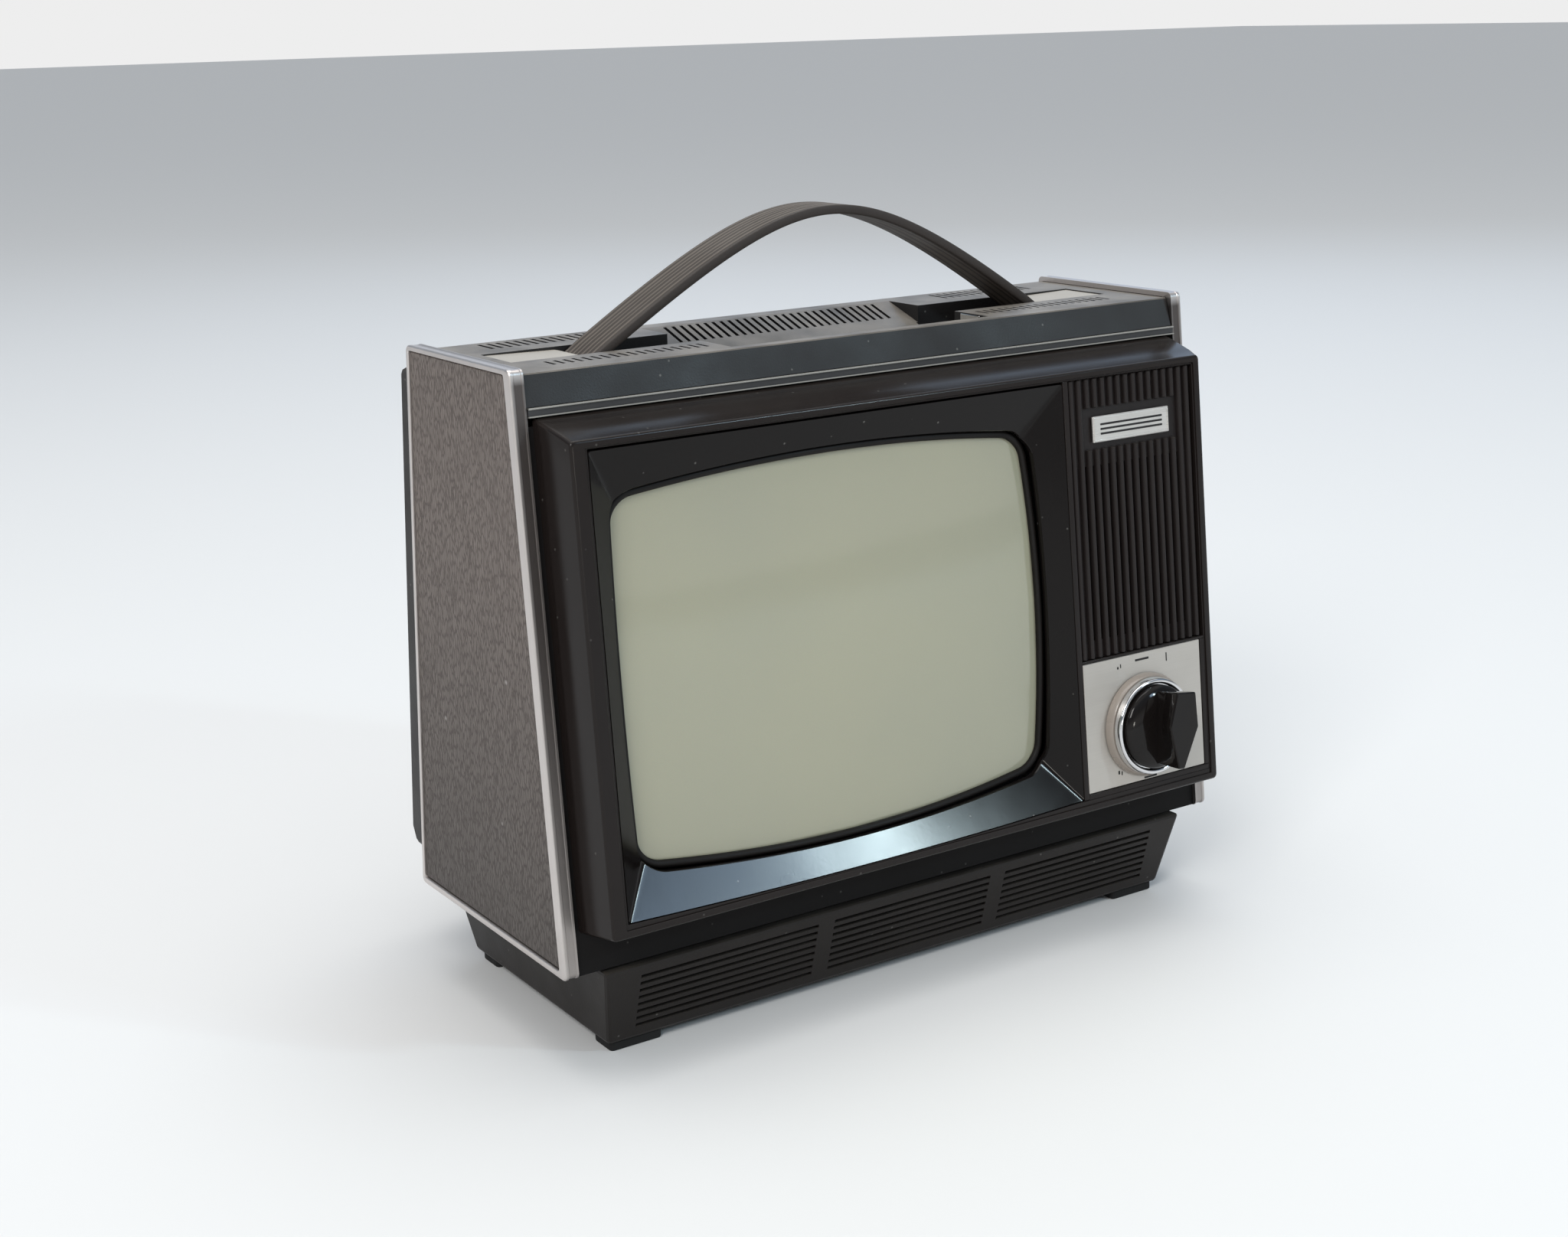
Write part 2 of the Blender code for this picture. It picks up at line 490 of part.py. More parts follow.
# ---------------------------------------------------------------- ledge strip and top cover
ledge = [(24.2, 269.4), (23.8, 270.9), (25.2, 271.0), (25.2, 271.6), (24.9, 271.7), (24.9, 273.5),
         (33.0, 273.5), (33.0, 269.4)]
prism("ledge_strip", ledge, -BODY_HALF + 0.1, BODY_HALF - 0.1, 0, mat=M_LEDGE, parent=BODY)

top_outline = [(30.9, TOP_Z - 0.6), (31.5, TOP_Z), (137.6, TOP_Z), (139.3, 264.5), (33.5, 264.5),
               (33.5, 273.9), (26.6, 273.9)]
top = prism("top_cover", top_outline, -BODY_HALF, BODY_HALF, 0, mat=M_TOP, parent=BODY)
SLOPE = math.tan(math.radians(19.0))
trough = [(38.0, 294.0), (38.0, 267.3), (127.0 - 21.7 / SLOPE, 267.3), (127.0 + 5.0 / SLOPE, 294.0)]
cut(top, prism("trough", trough, -TROUGH_HALF, TROUGH_HALF, 0, parent=BODY))
cut(top, boxes("strap_wells", [(s * 79.0 if s > 0 else -186.5, 186.5 if s > 0 else -79.0,
                                WELL_FRONT, WELL_BACK, WELL_FLOOR, 300.0) for s in (-1, 1)], parent=BODY))
pockets = []
for x0, x1 in ((-197.1, -83.4), (83.4, 197.1)):
    pockets += [(x0, x1, 103.0, 134.6, 255.0, 286.3), (x0, x1, 36.5, 64.2, 255.0, 286.3)]
cut(top, boxes("top_pockets", pockets, parent=BODY))
under = [(67.0, 255.0), (67.0, 265.4), (126.6, 286.0), (134.6, 286.0), (134.6, 255.0)]
cut(top, prism("trough_pocket", under, -TROUGH_HALF, TROUGH_HALF, 0, parent=BODY))
slots = [(x - 1.0, x + 1.0, 108.0, 125.4, 260.0, 300.0) for x in (np.arange(28) - 13.5) * 4.96]
for s in (-1, 1):
    slots += [(s * x - 1.0, s * x + 1.0, 114.5, 132.0, 280.0, 300.0) for x in np.arange(112.0, 173.0, 5.0)]
    slots += [(s * x - 0.9, s * x + 0.9, 47.5, 58.5, 280.0, 300.0) for x in np.arange(88.0, 174.0, 5.0)]
cut(top, boxes("top_slots", slots, parent=BODY))

# ---------------------------------------------------------------- strap handle with its guides and clips
STRAP_Y0, STRAP_Y1, STRAP_T = 68.5, 98.5, 4.8
ARCH_TOP, ARCH_SOFT, ARCH_SLOPE, ARCH_LEAN = 406.4, 3072.0, 0.75, 2.4


def arch(x):
    """Height of the strap's outer face: two straight flanks joined by a soft crown, leaning a little."""
    lean = ARCH_LEAN * (1.0 - (x / 140.0) ** 2)
    return ARCH_TOP - math.sqrt(ARCH_SOFT + (ARCH_SLOPE * (x - lean)) ** 2)


foot = [(140.0, 287.2), (145.0, 284.0), (151.0, 282.4), (159.0, 281.8), (172.0, 281.6)]
upper = [(x, arch(x)) for x in np.linspace(-134.0, 134.0, 29)]
upper = np.array([(-x, z) for x, z in reversed(foot)] + upper + foot)
tangent = np.gradient(upper, axis=0)
tangent /= np.linalg.norm(tangent, axis=1)[:, None]
lower = upper + np.stack([tangent[:, 1], -tangent[:, 0]], axis=1) * STRAP_T
RIBS = 7
width = STRAP_Y1 - STRAP_Y0
rib_pitch = (width - 3.0) / RIBS
profile = [(0.0, 0.6), (0.6, 0.0), (1.5, 0.0)]
for i in range(RIBS):
    y = 1.5 + i * rib_pitch
    profile += [(y + 0.1 * rib_pitch, 0.0), (y + 0.55 * rib_pitch, -0.9)]
profile += [(width - 1.5, 0.0), (width - 0.6, 0.0), (width, 0.6), (width, STRAP_T - 0.6),
            (width - 0.6, STRAP_T), (0.6, STRAP_T), (0.0, STRAP_T - 0.6)]
strap_loops = []
for (ux, uz), (lx, lz) in zip(upper, lower):
    loop = []
    for across, drop in profile:
        w = abs(drop) / STRAP_T
        loop.append((ux + (lx - ux) * w, STRAP_Y0 + across, uz + (lz - uz) * w))
    strap_loops.append(loop)
first, last = strap_loops[0], strap_loops[-1]
verts = [p for loop in strap_loops for p in loop]
n = len(profile)
faces = [[k * n + i, k * n + (i + 1) % n, (k + 1) * n + (i + 1) % n, (k + 1) * n + i]
         for k in range(len(strap_loops) - 1) for i in range(n)]
faces += [list(range(n)), [len(verts) - n + i for i in range(n)]]
mesh_object("strap_handle", verts, faces, mat=M_STRAP, parent=BODY, smooth=40.0)

for side, name in ((-1, "left"), (1, "right")):
    run = [(143.2, 286.3), (143.8, 287.0), (146.0, 287.5), (186.2, 288.4), (186.2, 268.1), (180.0, 268.1),
           (180.0, 285.8), (146.5, 285.6)]
    prism("strap_guide_" + name, [(side * x, z) for x, z in run], 67.3, 99.7, 1, mat=M_GUIDE, parent=BODY)
    x0, x1 = sorted((side * 79.6, side * 78.6))
    clip = boxes("strap_clip_" + name, [(x0, x1, 44.0, 60.0, 280.5, 288.6)], mat=M_CLIP, parent=BODY)
    round_edges(clip, 0.25, 1)

# ---------------------------------------------------------------- base with louvres and feet
base = frustum("base_stand", (-BASE_LOW, BASE_LOW, 11.0, 158.0, -BASE_H),
               (-BASE_TOP, BASE_TOP, -1.0, 173.0, -1.0), 2, mat=M_BASE, parent=BODY)
round_edges(base, 2.0, 2, 60.0)
cut(base, boxes("base_neck", [(-181.0, 181.0, 8.5, 155.0, -6.0, 0.0)], parent=BODY), "UNION")
cut(base, frustum("base_hollow", (-BASE_LOW + 3, BASE_LOW - 3, 15.0, 154.0, -BASE_H + 3.0),
                  (-178.4, 178.4, 10.8, 152.6, 10.0), 2, parent=BODY))
louvres = []
for x0, x1 in ((-166.0, -61.0), (-51.0, 51.0), (61.0, 166.0)):
    for i in range(8):
        z = -8.0 - 4.1 * i
        louvres += [(x0, x1, -8.0, 20.0, z - 0.9, z + 0.9), (x0, x1, 146.0, 185.0, z - 0.9, z + 0.9)]
cut(base, boxes("base_louvres", louvres, parent=BODY))
for sx, sname in ((-1, "left"), (1, "right")):
    for y0, y1, yname in ((12.4, 30.4, "front"), (137.0, 155.0, "rear")):
        x0, x1 = sorted((sx * 148.5, sx * 178.5))
        foot_obj = frustum("foot_%s_%s" % (yname, sname), (x0 + 1.0, x1 - 1.0, y0 + 1.0, y1 - 1.0, -LIFT),
                           (x0, x1, y0, y1, -BASE_H - GAP), 2, mat=M_FOOT, parent=BODY)
        round_edges(foot_obj, 0.8, 1, 60.0)

# ---------------------------------------------------------------- chassis inside
boxes("main_board", [(-182.0, 60.0, 66.0, 184.0, 12.0, 13.6)], mat=M_BOARD, parent=BODY)
board = bpy.data.objects["main_board"]
blocks = []
for i, (x, y, w, d, h) in enumerate((
        (-160, 80, 18, 18, 20), (-120, 84, 12, 26, 14), (-84, 78, 22, 14, 12), (-40, 90, 14, 14, 22),
        (0, 84, 26, 16, 10), (30, 96, 12, 30, 16), (-60, 128, 30, 12, 9), (-20, 136, 16, 16, 18),
        (20, 150, 24, 14, 12), (-92, 160, 14, 14, 24), (-40, 164, 34, 10, 10))):
    blocks.append((x - w / 2, x + w / 2, y - d / 2, y + d / 2, 13.0, 13.0 + h))
cut(board, boxes("board_components", blocks, parent=BODY), "UNION")
legs = [(x - 4, x + 4, y - 4, y + 4, 3.2, 12.5) for x in (-176.0, 54.0) for y in (72.0, 153.0)]
cut(board, boxes("board_legs", legs, parent=BODY), "UNION")

core = boxes("mains_transformer", [(92.0, 150.0, 96.0, 140.0, 3.2, 60.0)], mat=M_IRON, parent=BODY)
cut(core, boxes("transformer_coil", [(100.0, 142.0, 86.0, 150.0, 14.0, 49.0)], parent=BODY), "UNION")
line = boxes("line_transformer", [(-166.0, -124.0, 120.0, 162.0, 13.9, 40.0)], mat=M_FLY, parent=BODY)
cut(line, turned("line_coil", [(0, -15), (17, -15), (17, 20), (0, 20)], 24, parent=BODY,
                 origin=(-145, 141, 56)), "UNION")

# ---------------------------------------------------------------- rear cover
back = [(141.9, 285.5), (187.8, 272.5), (REAR_Y, REAR_Z), (206.0, 5.0), (161.2, 3.2)]
cover = prism("rear_cover", back, -191.5, 191.5, 0, mat=M_REAR, parent=BODY)
round_edges(cover, 3.0, 2, 50.0)
hump = frustum("rear_hump", (-114.0, 25.0, 62.0, 196.0, 190.0), (-92.0, 3.0, 84.0, 172.0, 240.0), 1,
               parent=BODY)
cut(cover, round_edges(hump, 4.0, 2, 30.0), "UNION")
flange = [(141.9, 285.2), (144.3, 284.5), (163.5, 3.4), (161.2, 3.3)]
cut(cover, prism("rear_flange", flange, -199.5, 199.5, 0, parent=BODY), "UNION")
inside = [(130.0, 283.5), (141.9, 282.6), (185.8, 270.0), (207.6, 15.0), (204.4, 8.0), (130.0, 6.2)]
cut(cover, prism("rear_hollow", inside, -188.8, 188.8, 0, parent=BODY))
cut(cover, frustum("hump_hollow", (-111.0, 22.0, 65.0, 193.0, 180.0),
                   (-89.5, 0.5, 86.5, 169.5, 237.4), 1, parent=BODY))
vents = []
for x in np.arange(-150.0, 151.0, 10.0):
    vents.append((x - 1.5, x + 1.5, 150.0, 178.0, 262.0, 300.0))
for x in np.arange(48.0, 170.0, 10.0):
    vents.append((x - 1.5, x + 1.5, 180.0, 215.0, 120.0, 215.0))
for x in np.arange(-172.0, -122.0, 10.0):
    vents.append((x - 1.5, x + 1.5, 180.0, 215.0, 120.0, 215.0))
cut(cover, boxes("rear_vents", vents, parent=BODY))

REAR_KNOBS = (("volume_knob", 60.0), ("brightness_knob", 84.0), ("contrast_knob", 108.0),
              ("frame_hold_knob", 132.0))
for name, x in REAR_KNOBS:
    cut(cover, turned("hole_" + name, [(0, -12), (3.4, -12), (3.4, 12), (0, 12)], 16, parent=REAR,
                      origin=(x, 0, 72)))
    knob = turned(name, [(0, -6.0), (2.8, -6.0), (2.8, 0.6), (8.0, 0.6), (8.6, 1.2), (8.2, 9.6), (7.4, 10.4),
                         (0, 10.4)], 24, mat=M_RKNOB, parent=REAR, origin=(x, 0, 72), smooth=35.0)
    cut(knob, boxes("mark_" + name, [(-0.7, 0.7, 9.6, 14.0, 0.5, 9.0)], parent=REAR))
    bpy.data.objects["mark_" + name].location = (x * MM, 0, 72 * MM)

cut(cover, boxes("inlet_hole", [(84.0, 112.0, -12.0, 12.0, 20.0, 40.0)], parent=REAR))
inlet = boxes("mains_inlet", [(84.3, 111.7, -14.0, 1.6, 20.3, 39.7)], mat=M_INLET, parent=REAR)
cut(inlet, boxes("inlet_cavity", [(88.0, 108.0, -9.0, 5.0, 24.0, 36.0)], parent=REAR))
for name, x in (("inlet_pin_a", 93.5), ("inlet_pin_b", 102.5)):
    cut(inlet, turned(name, [(0, -10), (1.2, -10), (1.2, -1), (0, -1)], 10, parent=REAR, origin=(x, 0, 30)),
        "UNION")

cut(cover, boxes("switch_hole", [(134.0, 150.0, -12.0, 12.0, 20.0, 40.0)], parent=REAR))
prism("power_switch", [(-6.0, 8.8), (3.6, 8.8), (1.2, 0.0), (2.6, -8.8), (-6.0, -8.8)], -6.6, 6.6, 0,
      mat=M_RKNOB, parent=REAR, origin=(142.0, 0.0, 30.0))

SOCKETS = (("aerial_socket", -150.0, 84.0, 6.4, 4.75), ("earphone_socket", -150.0, 52.0, 4.6, 1.8))
for name, x, z, r, bore in SOCKETS:
    cut(cover, turned("hole_" + name, [(0, -12), (r - 0.4, -12), (r - 0.4, 12), (0, 12)], 24, parent=REAR,
                      origin=(x, 0, z)))
    turned(name, [(bore, 2.6), (r + 0.6, 2.6), (r + 1.6, 1.8), (r + 1.6, 0.3), (r - 0.8, 0.3),
                  (r - 0.8, -12.0), (0.0, -12.0), (0.0, -9.0), (bore, -9.0)], 24, closed=True,
           mat=M_BRASS, parent=REAR, origin=(x, 0, z), smooth=35.0)

# ---------------------------------------------------------------- cover screws
for i, (x, z) in enumerate(((-170.0, 18.0), (170.0, 18.0), (-170.0, 238.0), (170.0, 238.0))):
    cut(cover, turned("screw_hole_%d" % (i + 1), [(0, -12), (2.4, -12), (2.4, 12), (0, 12)], 12, parent=REAR,
                      origin=(x, 0, z)))
    screw = turned("cover_screw_%d" % (i + 1), [(0, -14.0), (1.9, -14.0), (1.9, 0.3), (4.2, 0.3), (4.0, 1.5),
                                                (2.4, 2.6), (0, 2.8)], 16, mat=M_SCREW, parent=REAR,
                   origin=(x, 0, z), smooth=35.0)
    cut(screw, boxes("screw_slot_%d" % (i + 1), [(-5.0, 5.0, 1.9, 5.0, -0.5, 0.5)], parent=REAR,
                     origin=(x, 0, z)))
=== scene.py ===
"""Looks of the portable television: surfaces, finishes, floor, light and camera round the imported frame."""
import json
import math

import bmesh
import bpy
import numpy as np
from mathutils import Matrix, Vector


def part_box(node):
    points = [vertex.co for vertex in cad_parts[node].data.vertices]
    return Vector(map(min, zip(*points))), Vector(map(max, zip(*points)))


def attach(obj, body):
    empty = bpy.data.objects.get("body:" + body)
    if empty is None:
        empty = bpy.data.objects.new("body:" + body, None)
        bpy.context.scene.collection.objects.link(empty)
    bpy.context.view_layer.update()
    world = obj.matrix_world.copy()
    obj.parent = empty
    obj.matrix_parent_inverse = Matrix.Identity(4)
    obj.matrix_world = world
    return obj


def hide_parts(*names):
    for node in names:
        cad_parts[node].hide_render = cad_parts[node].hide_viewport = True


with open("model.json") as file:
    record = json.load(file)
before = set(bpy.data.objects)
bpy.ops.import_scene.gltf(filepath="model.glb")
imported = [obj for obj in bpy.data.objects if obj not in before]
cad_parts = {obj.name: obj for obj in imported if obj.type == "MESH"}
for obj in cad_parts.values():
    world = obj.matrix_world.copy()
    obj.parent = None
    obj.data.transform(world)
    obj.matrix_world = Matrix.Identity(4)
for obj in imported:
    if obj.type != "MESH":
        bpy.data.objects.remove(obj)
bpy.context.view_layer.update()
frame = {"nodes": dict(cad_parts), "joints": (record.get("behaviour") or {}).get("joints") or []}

NODES = frame["nodes"]
JOINTS = {joint["name"]: joint for joint in frame["joints"]}
MM = 0.001

# ---------------------------------------------------------------- driving dimensions (mm)
KNOB_X, KNOB_V = 142.5, 41.0        # selector on the front plane
KNOB_LEAN = 8.0                     # turn of the bar grip at rest, degrees
REAR_KNOB_V = 72.0                  # rear knobs above the rear plane's zero
FRONT_Y, FRONT_Z = -23.8, 24.9      # front plane's zero from the panel's bottom front corner
CASE_HALF, TRIM_T = 208.0, 7.7      # half the width over the side frames, and a side frame's thickness
PANEL = np.array([(0.0, 0.0), (27.6, 291.9), (140.5, 291.8), (161.7, 0.0)])     # side outline
TRIM_WIDTHS = np.array([6.0, 2.6, 3.0, 4.0])    # side frame along the front, top, rear and bottom
MASK = (-184.2, 97.2, 7.2, 231.9)   # left, right, bottom, top of the mask
MASK_RUN = (17.14, 20.6, 26.19, 25.7)   # width of each slope: left, right, bottom, top
MASK_BOW = 2.4                      # how far the mask's lower edge hangs at its middle
MASK_START, MASK_FALL = 1.2, 12.5   # depth of the mask's outer edge, and how far its slopes go back
SCREEN_X, SCREEN_V, SCREEN_HW, SCREEN_HV = -44.5, 117.5, 126.0, 96.0
BULGE_X, BULGE_V = 3.6, 8.6         # how far the screen's corners fall short of its mid-sides
SAG_X, SAG_V, GLASS_D = 1100.0, 900.0, 7.8      # the glass's two radii and the depth of its middle
TUBE_HW, TUBE_HV = 131.5, 101.5
STRAP_Y0, STRAP_WIDTH, STRAP_T, STRAP_RIBS = 68.5, 30.0, 4.8, 7
STRAP_EDGE = 1.5                    # plain border beside the strap's ribs

selector_pos = np.array(JOINTS["channel_selector"]["pos_m"])
front_out = np.array(JOINTS["channel_selector"]["axis"])
front_in = -front_out / np.linalg.norm(front_out)
front_up = np.array((0.0, -front_in[2], front_in[1]))
front_zero = selector_pos - MM * (KNOB_X * np.array((1.0, 0.0, 0.0)) + KNOB_V * front_up)
rear_pos = np.array(JOINTS["volume_turn"]["pos_m"])
rear_out = np.array(JOINTS["volume_turn"]["axis"])
rear_up = np.array((0.0, -rear_out[2], rear_out[1]))
rear_zero = np.array((0.0, rear_pos[1], rear_pos[2])) - MM * REAR_KNOB_V * rear_up
case_zero = front_zero - MM * np.array((0.0, FRONT_Y, FRONT_Z))


# ---------------------------------------------------------------- places
def on_front(points):
    """(x, depth into the set, height up the front) in mm to metres: zero + x X + depth N + height U."""
    p = np.asarray(points, float) * MM
    return front_zero + p[..., :1] * (1, 0, 0) + p[..., 1:2] * front_in + p[..., 2:3] * front_up


def on_rear(points):
    """(x, height out of the rear cover, height up it) in mm to metres in the same way."""
    p = np.asarray(points, float) * MM
    return rear_zero + p[..., :1] * (1, 0, 0) + p[..., 1:2] * rear_out + p[..., 2:3] * rear_up


def on_case(points):
    """(x, y, z) in mm from the side panels' bottom front corner to metres: zero + (x, y, z)."""
    return case_zero + np.asarray(points, float) * MM


# ---------------------------------------------------------------- outlines and grids
def rounded_rectangle(x0, x1, v0, v1, radius, corner=8, side=12):
    """Four quarter circles, centre + radius (cos a, sin a), with straight runs between their ends."""
    turn = np.linspace(0.0, math.pi / 2, corner + 1)
    centres = np.array([(x1 - radius, v1 - radius), (x0 + radius, v1 - radius),
                        (x0 + radius, v0 + radius), (x1 - radius, v0 + radius)])
    angle = turn[None, :] + np.arange(4)[:, None] * math.pi / 2
    arcs = centres[:, None, :] + radius * np.stack([np.cos(angle), np.sin(angle)], axis=-1)
    share = np.linspace(0.0, 1.0, side + 2)[1:-1]
    ends, starts = arcs[:, -1], np.roll(arcs[:, 0], -1, axis=0)
    runs = ends[:, None, :] * (1 - share)[None, :, None] + starts[:, None, :] * share[None, :, None]
    return np.concatenate([arcs, runs], axis=1).reshape(-1, 2)


def barrel(half_w, half_v, radius, corner=16, side=40):
    """Screen outline: a rounded rectangle whose x shrinks with (v / half_v)^2, and v with (x / half_w)^2."""
    p = rounded_rectangle(-half_w, half_w, -half_v, half_v, radius, corner, side)
    x = p[:, 0] * (1 - BULGE_X / half_w * (p[:, 1] / half_v) ** 2)
    v = p[:, 1] * (1 - BULGE_V / half_v * (p[:, 0] / half_w) ** 2)
    return np.stack([SCREEN_X + x, SCREEN_V + v], axis=-1)


def oval(half_w, half_v, power, count=160):
    """Superellipse: half (sign cos |cos|^(2/power), sign sin |sin|^(2/power))."""
    a = np.linspace(0, 2 * math.pi, count, endpoint=False)
    c, s = np.cos(a), np.sin(a)
    return np.stack([SCREEN_X + half_w * np.sign(c) * np.abs(c) ** (2 / power),
                     SCREEN_V + half_v * np.sign(s) * np.abs(s) ** (2 / power)], axis=-1)


def at_depth(outline, depth):
    """Outline (x, v) as rows of (x, depth, v)."""
    return np.stack([outline[:, 0], np.broadcast_to(depth, len(outline)), outline[:, 1]], axis=-1)


def glass_depth(outline, start=GLASS_D):
    """Front of the tube: start + dx^2 / 2Rx + dv^2 / 2Rv."""
    dx, dv = outline[:, 0] - SCREEN_X, outline[:, 1] - SCREEN_V
    return start + dx ** 2 / (2 * SAG_X) + dv ** 2 / (2 * SAG_V)


def turned(profile, segments=96, flutes=0, flute_depth=0.0, fluted=()):
    """Profile rows (radius, height) turned about the axis; fluted rows lose depth (1 + cos(n a)) / 2."""
    p = np.asarray(profile, float)
    a = np.linspace(0, 2 * math.pi, segments, endpoint=False)
    r = np.repeat(p[:, :1], segments, axis=1)
    for row in fluted:
        r[row] -= flute_depth * (0.5 + 0.5 * np.cos(flutes * a))
    return np.stack([r * np.cos(a), np.repeat(p[:, 1:2], segments, axis=1), r * np.sin(a)], axis=-1)


def block(x0, x1, y0, y1, v0, v1, radius, edge):
    """Rounded rectangle in (x, v) carried from y0 to y1; the y0 edge is a quarter round of size edge."""
    bend = np.linspace(math.pi / 2, 0.0, 5)
    rows = [(y0 + edge * (1 - math.sin(a)), edge * (1 - math.cos(a))) for a in bend]
    rows.append((y1, 0.0))
    out = []
    for y, inset in rows:
        corner = max(radius - inset, 0.05)
        loop = rounded_rectangle(x0 + inset, x1 - inset, v0 + inset, v1 - inset, corner, 4, 3)
        out.append(at_depth(loop, y))
    return np.array(out)


def piece(name, shells, body, material, replaces=(), sharp=35.0):
    """One object from closed grids: columns close round; end rows are capped, or joined in a ring."""
    verts, faces, start = [], [], 0
    for grid, ends in shells:
        rows, cols = grid.shape[:2]
        u = np.arange(rows if ends == "ring" else rows - 1)[:, None]
        v = np.arange(cols)[None, :]
        quad = np.stack([u * cols + v, u * cols + (v + 1) % cols,
                         (u + 1) % rows * cols + (v + 1) % cols, (u + 1) % rows * cols + v], axis=-1)
        faces += (quad.reshape(-1, 4) + start).tolist()
        if ends == "cap":
            first = np.arange(cols) + start
            faces += [first[::-1].tolist(), (first + (rows - 1) * cols).tolist()]
        verts.append(grid.reshape(-1, 3))
        start += rows * cols
    mesh = bpy.data.meshes.new(name)
    mesh.from_pydata(np.concatenate(verts).tolist(), [], faces)
    shape = bmesh.new()
    shape.from_mesh(mesh)
    bmesh.ops.recalc_face_normals(shape, faces=shape.faces)
    shape.to_mesh(mesh)
    shape.free()
    mesh.shade_smooth()
    mesh.set_sharp_from_angle(angle=math.radians(sharp))
    mesh.materials.append(material)
    obj = bpy.data.objects.new(name, mesh)
    bpy.context.scene.collection.objects.link(obj)
    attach(obj, body)
    if replaces:
        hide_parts(*replaces)
    return obj


# ---------------------------------------------------------------- finishes
def blank_material(name):
    """New material with an empty node tree, and that tree."""
    mat = bpy.data.materials.new(name)
    mat.use_nodes = True
    mat.node_tree.nodes.clear()
    return mat, mat.node_tree


def lay_out(labels, frames):
    """Labels and places each node, and draws each frame round the nodes of one effect."""
    for node, label, x, y in labels:
        node.label = label
        node.location = (x, y)
    for holder, label, held in frames:
        holder.label = label
        for node in held:
            node.parent = holder


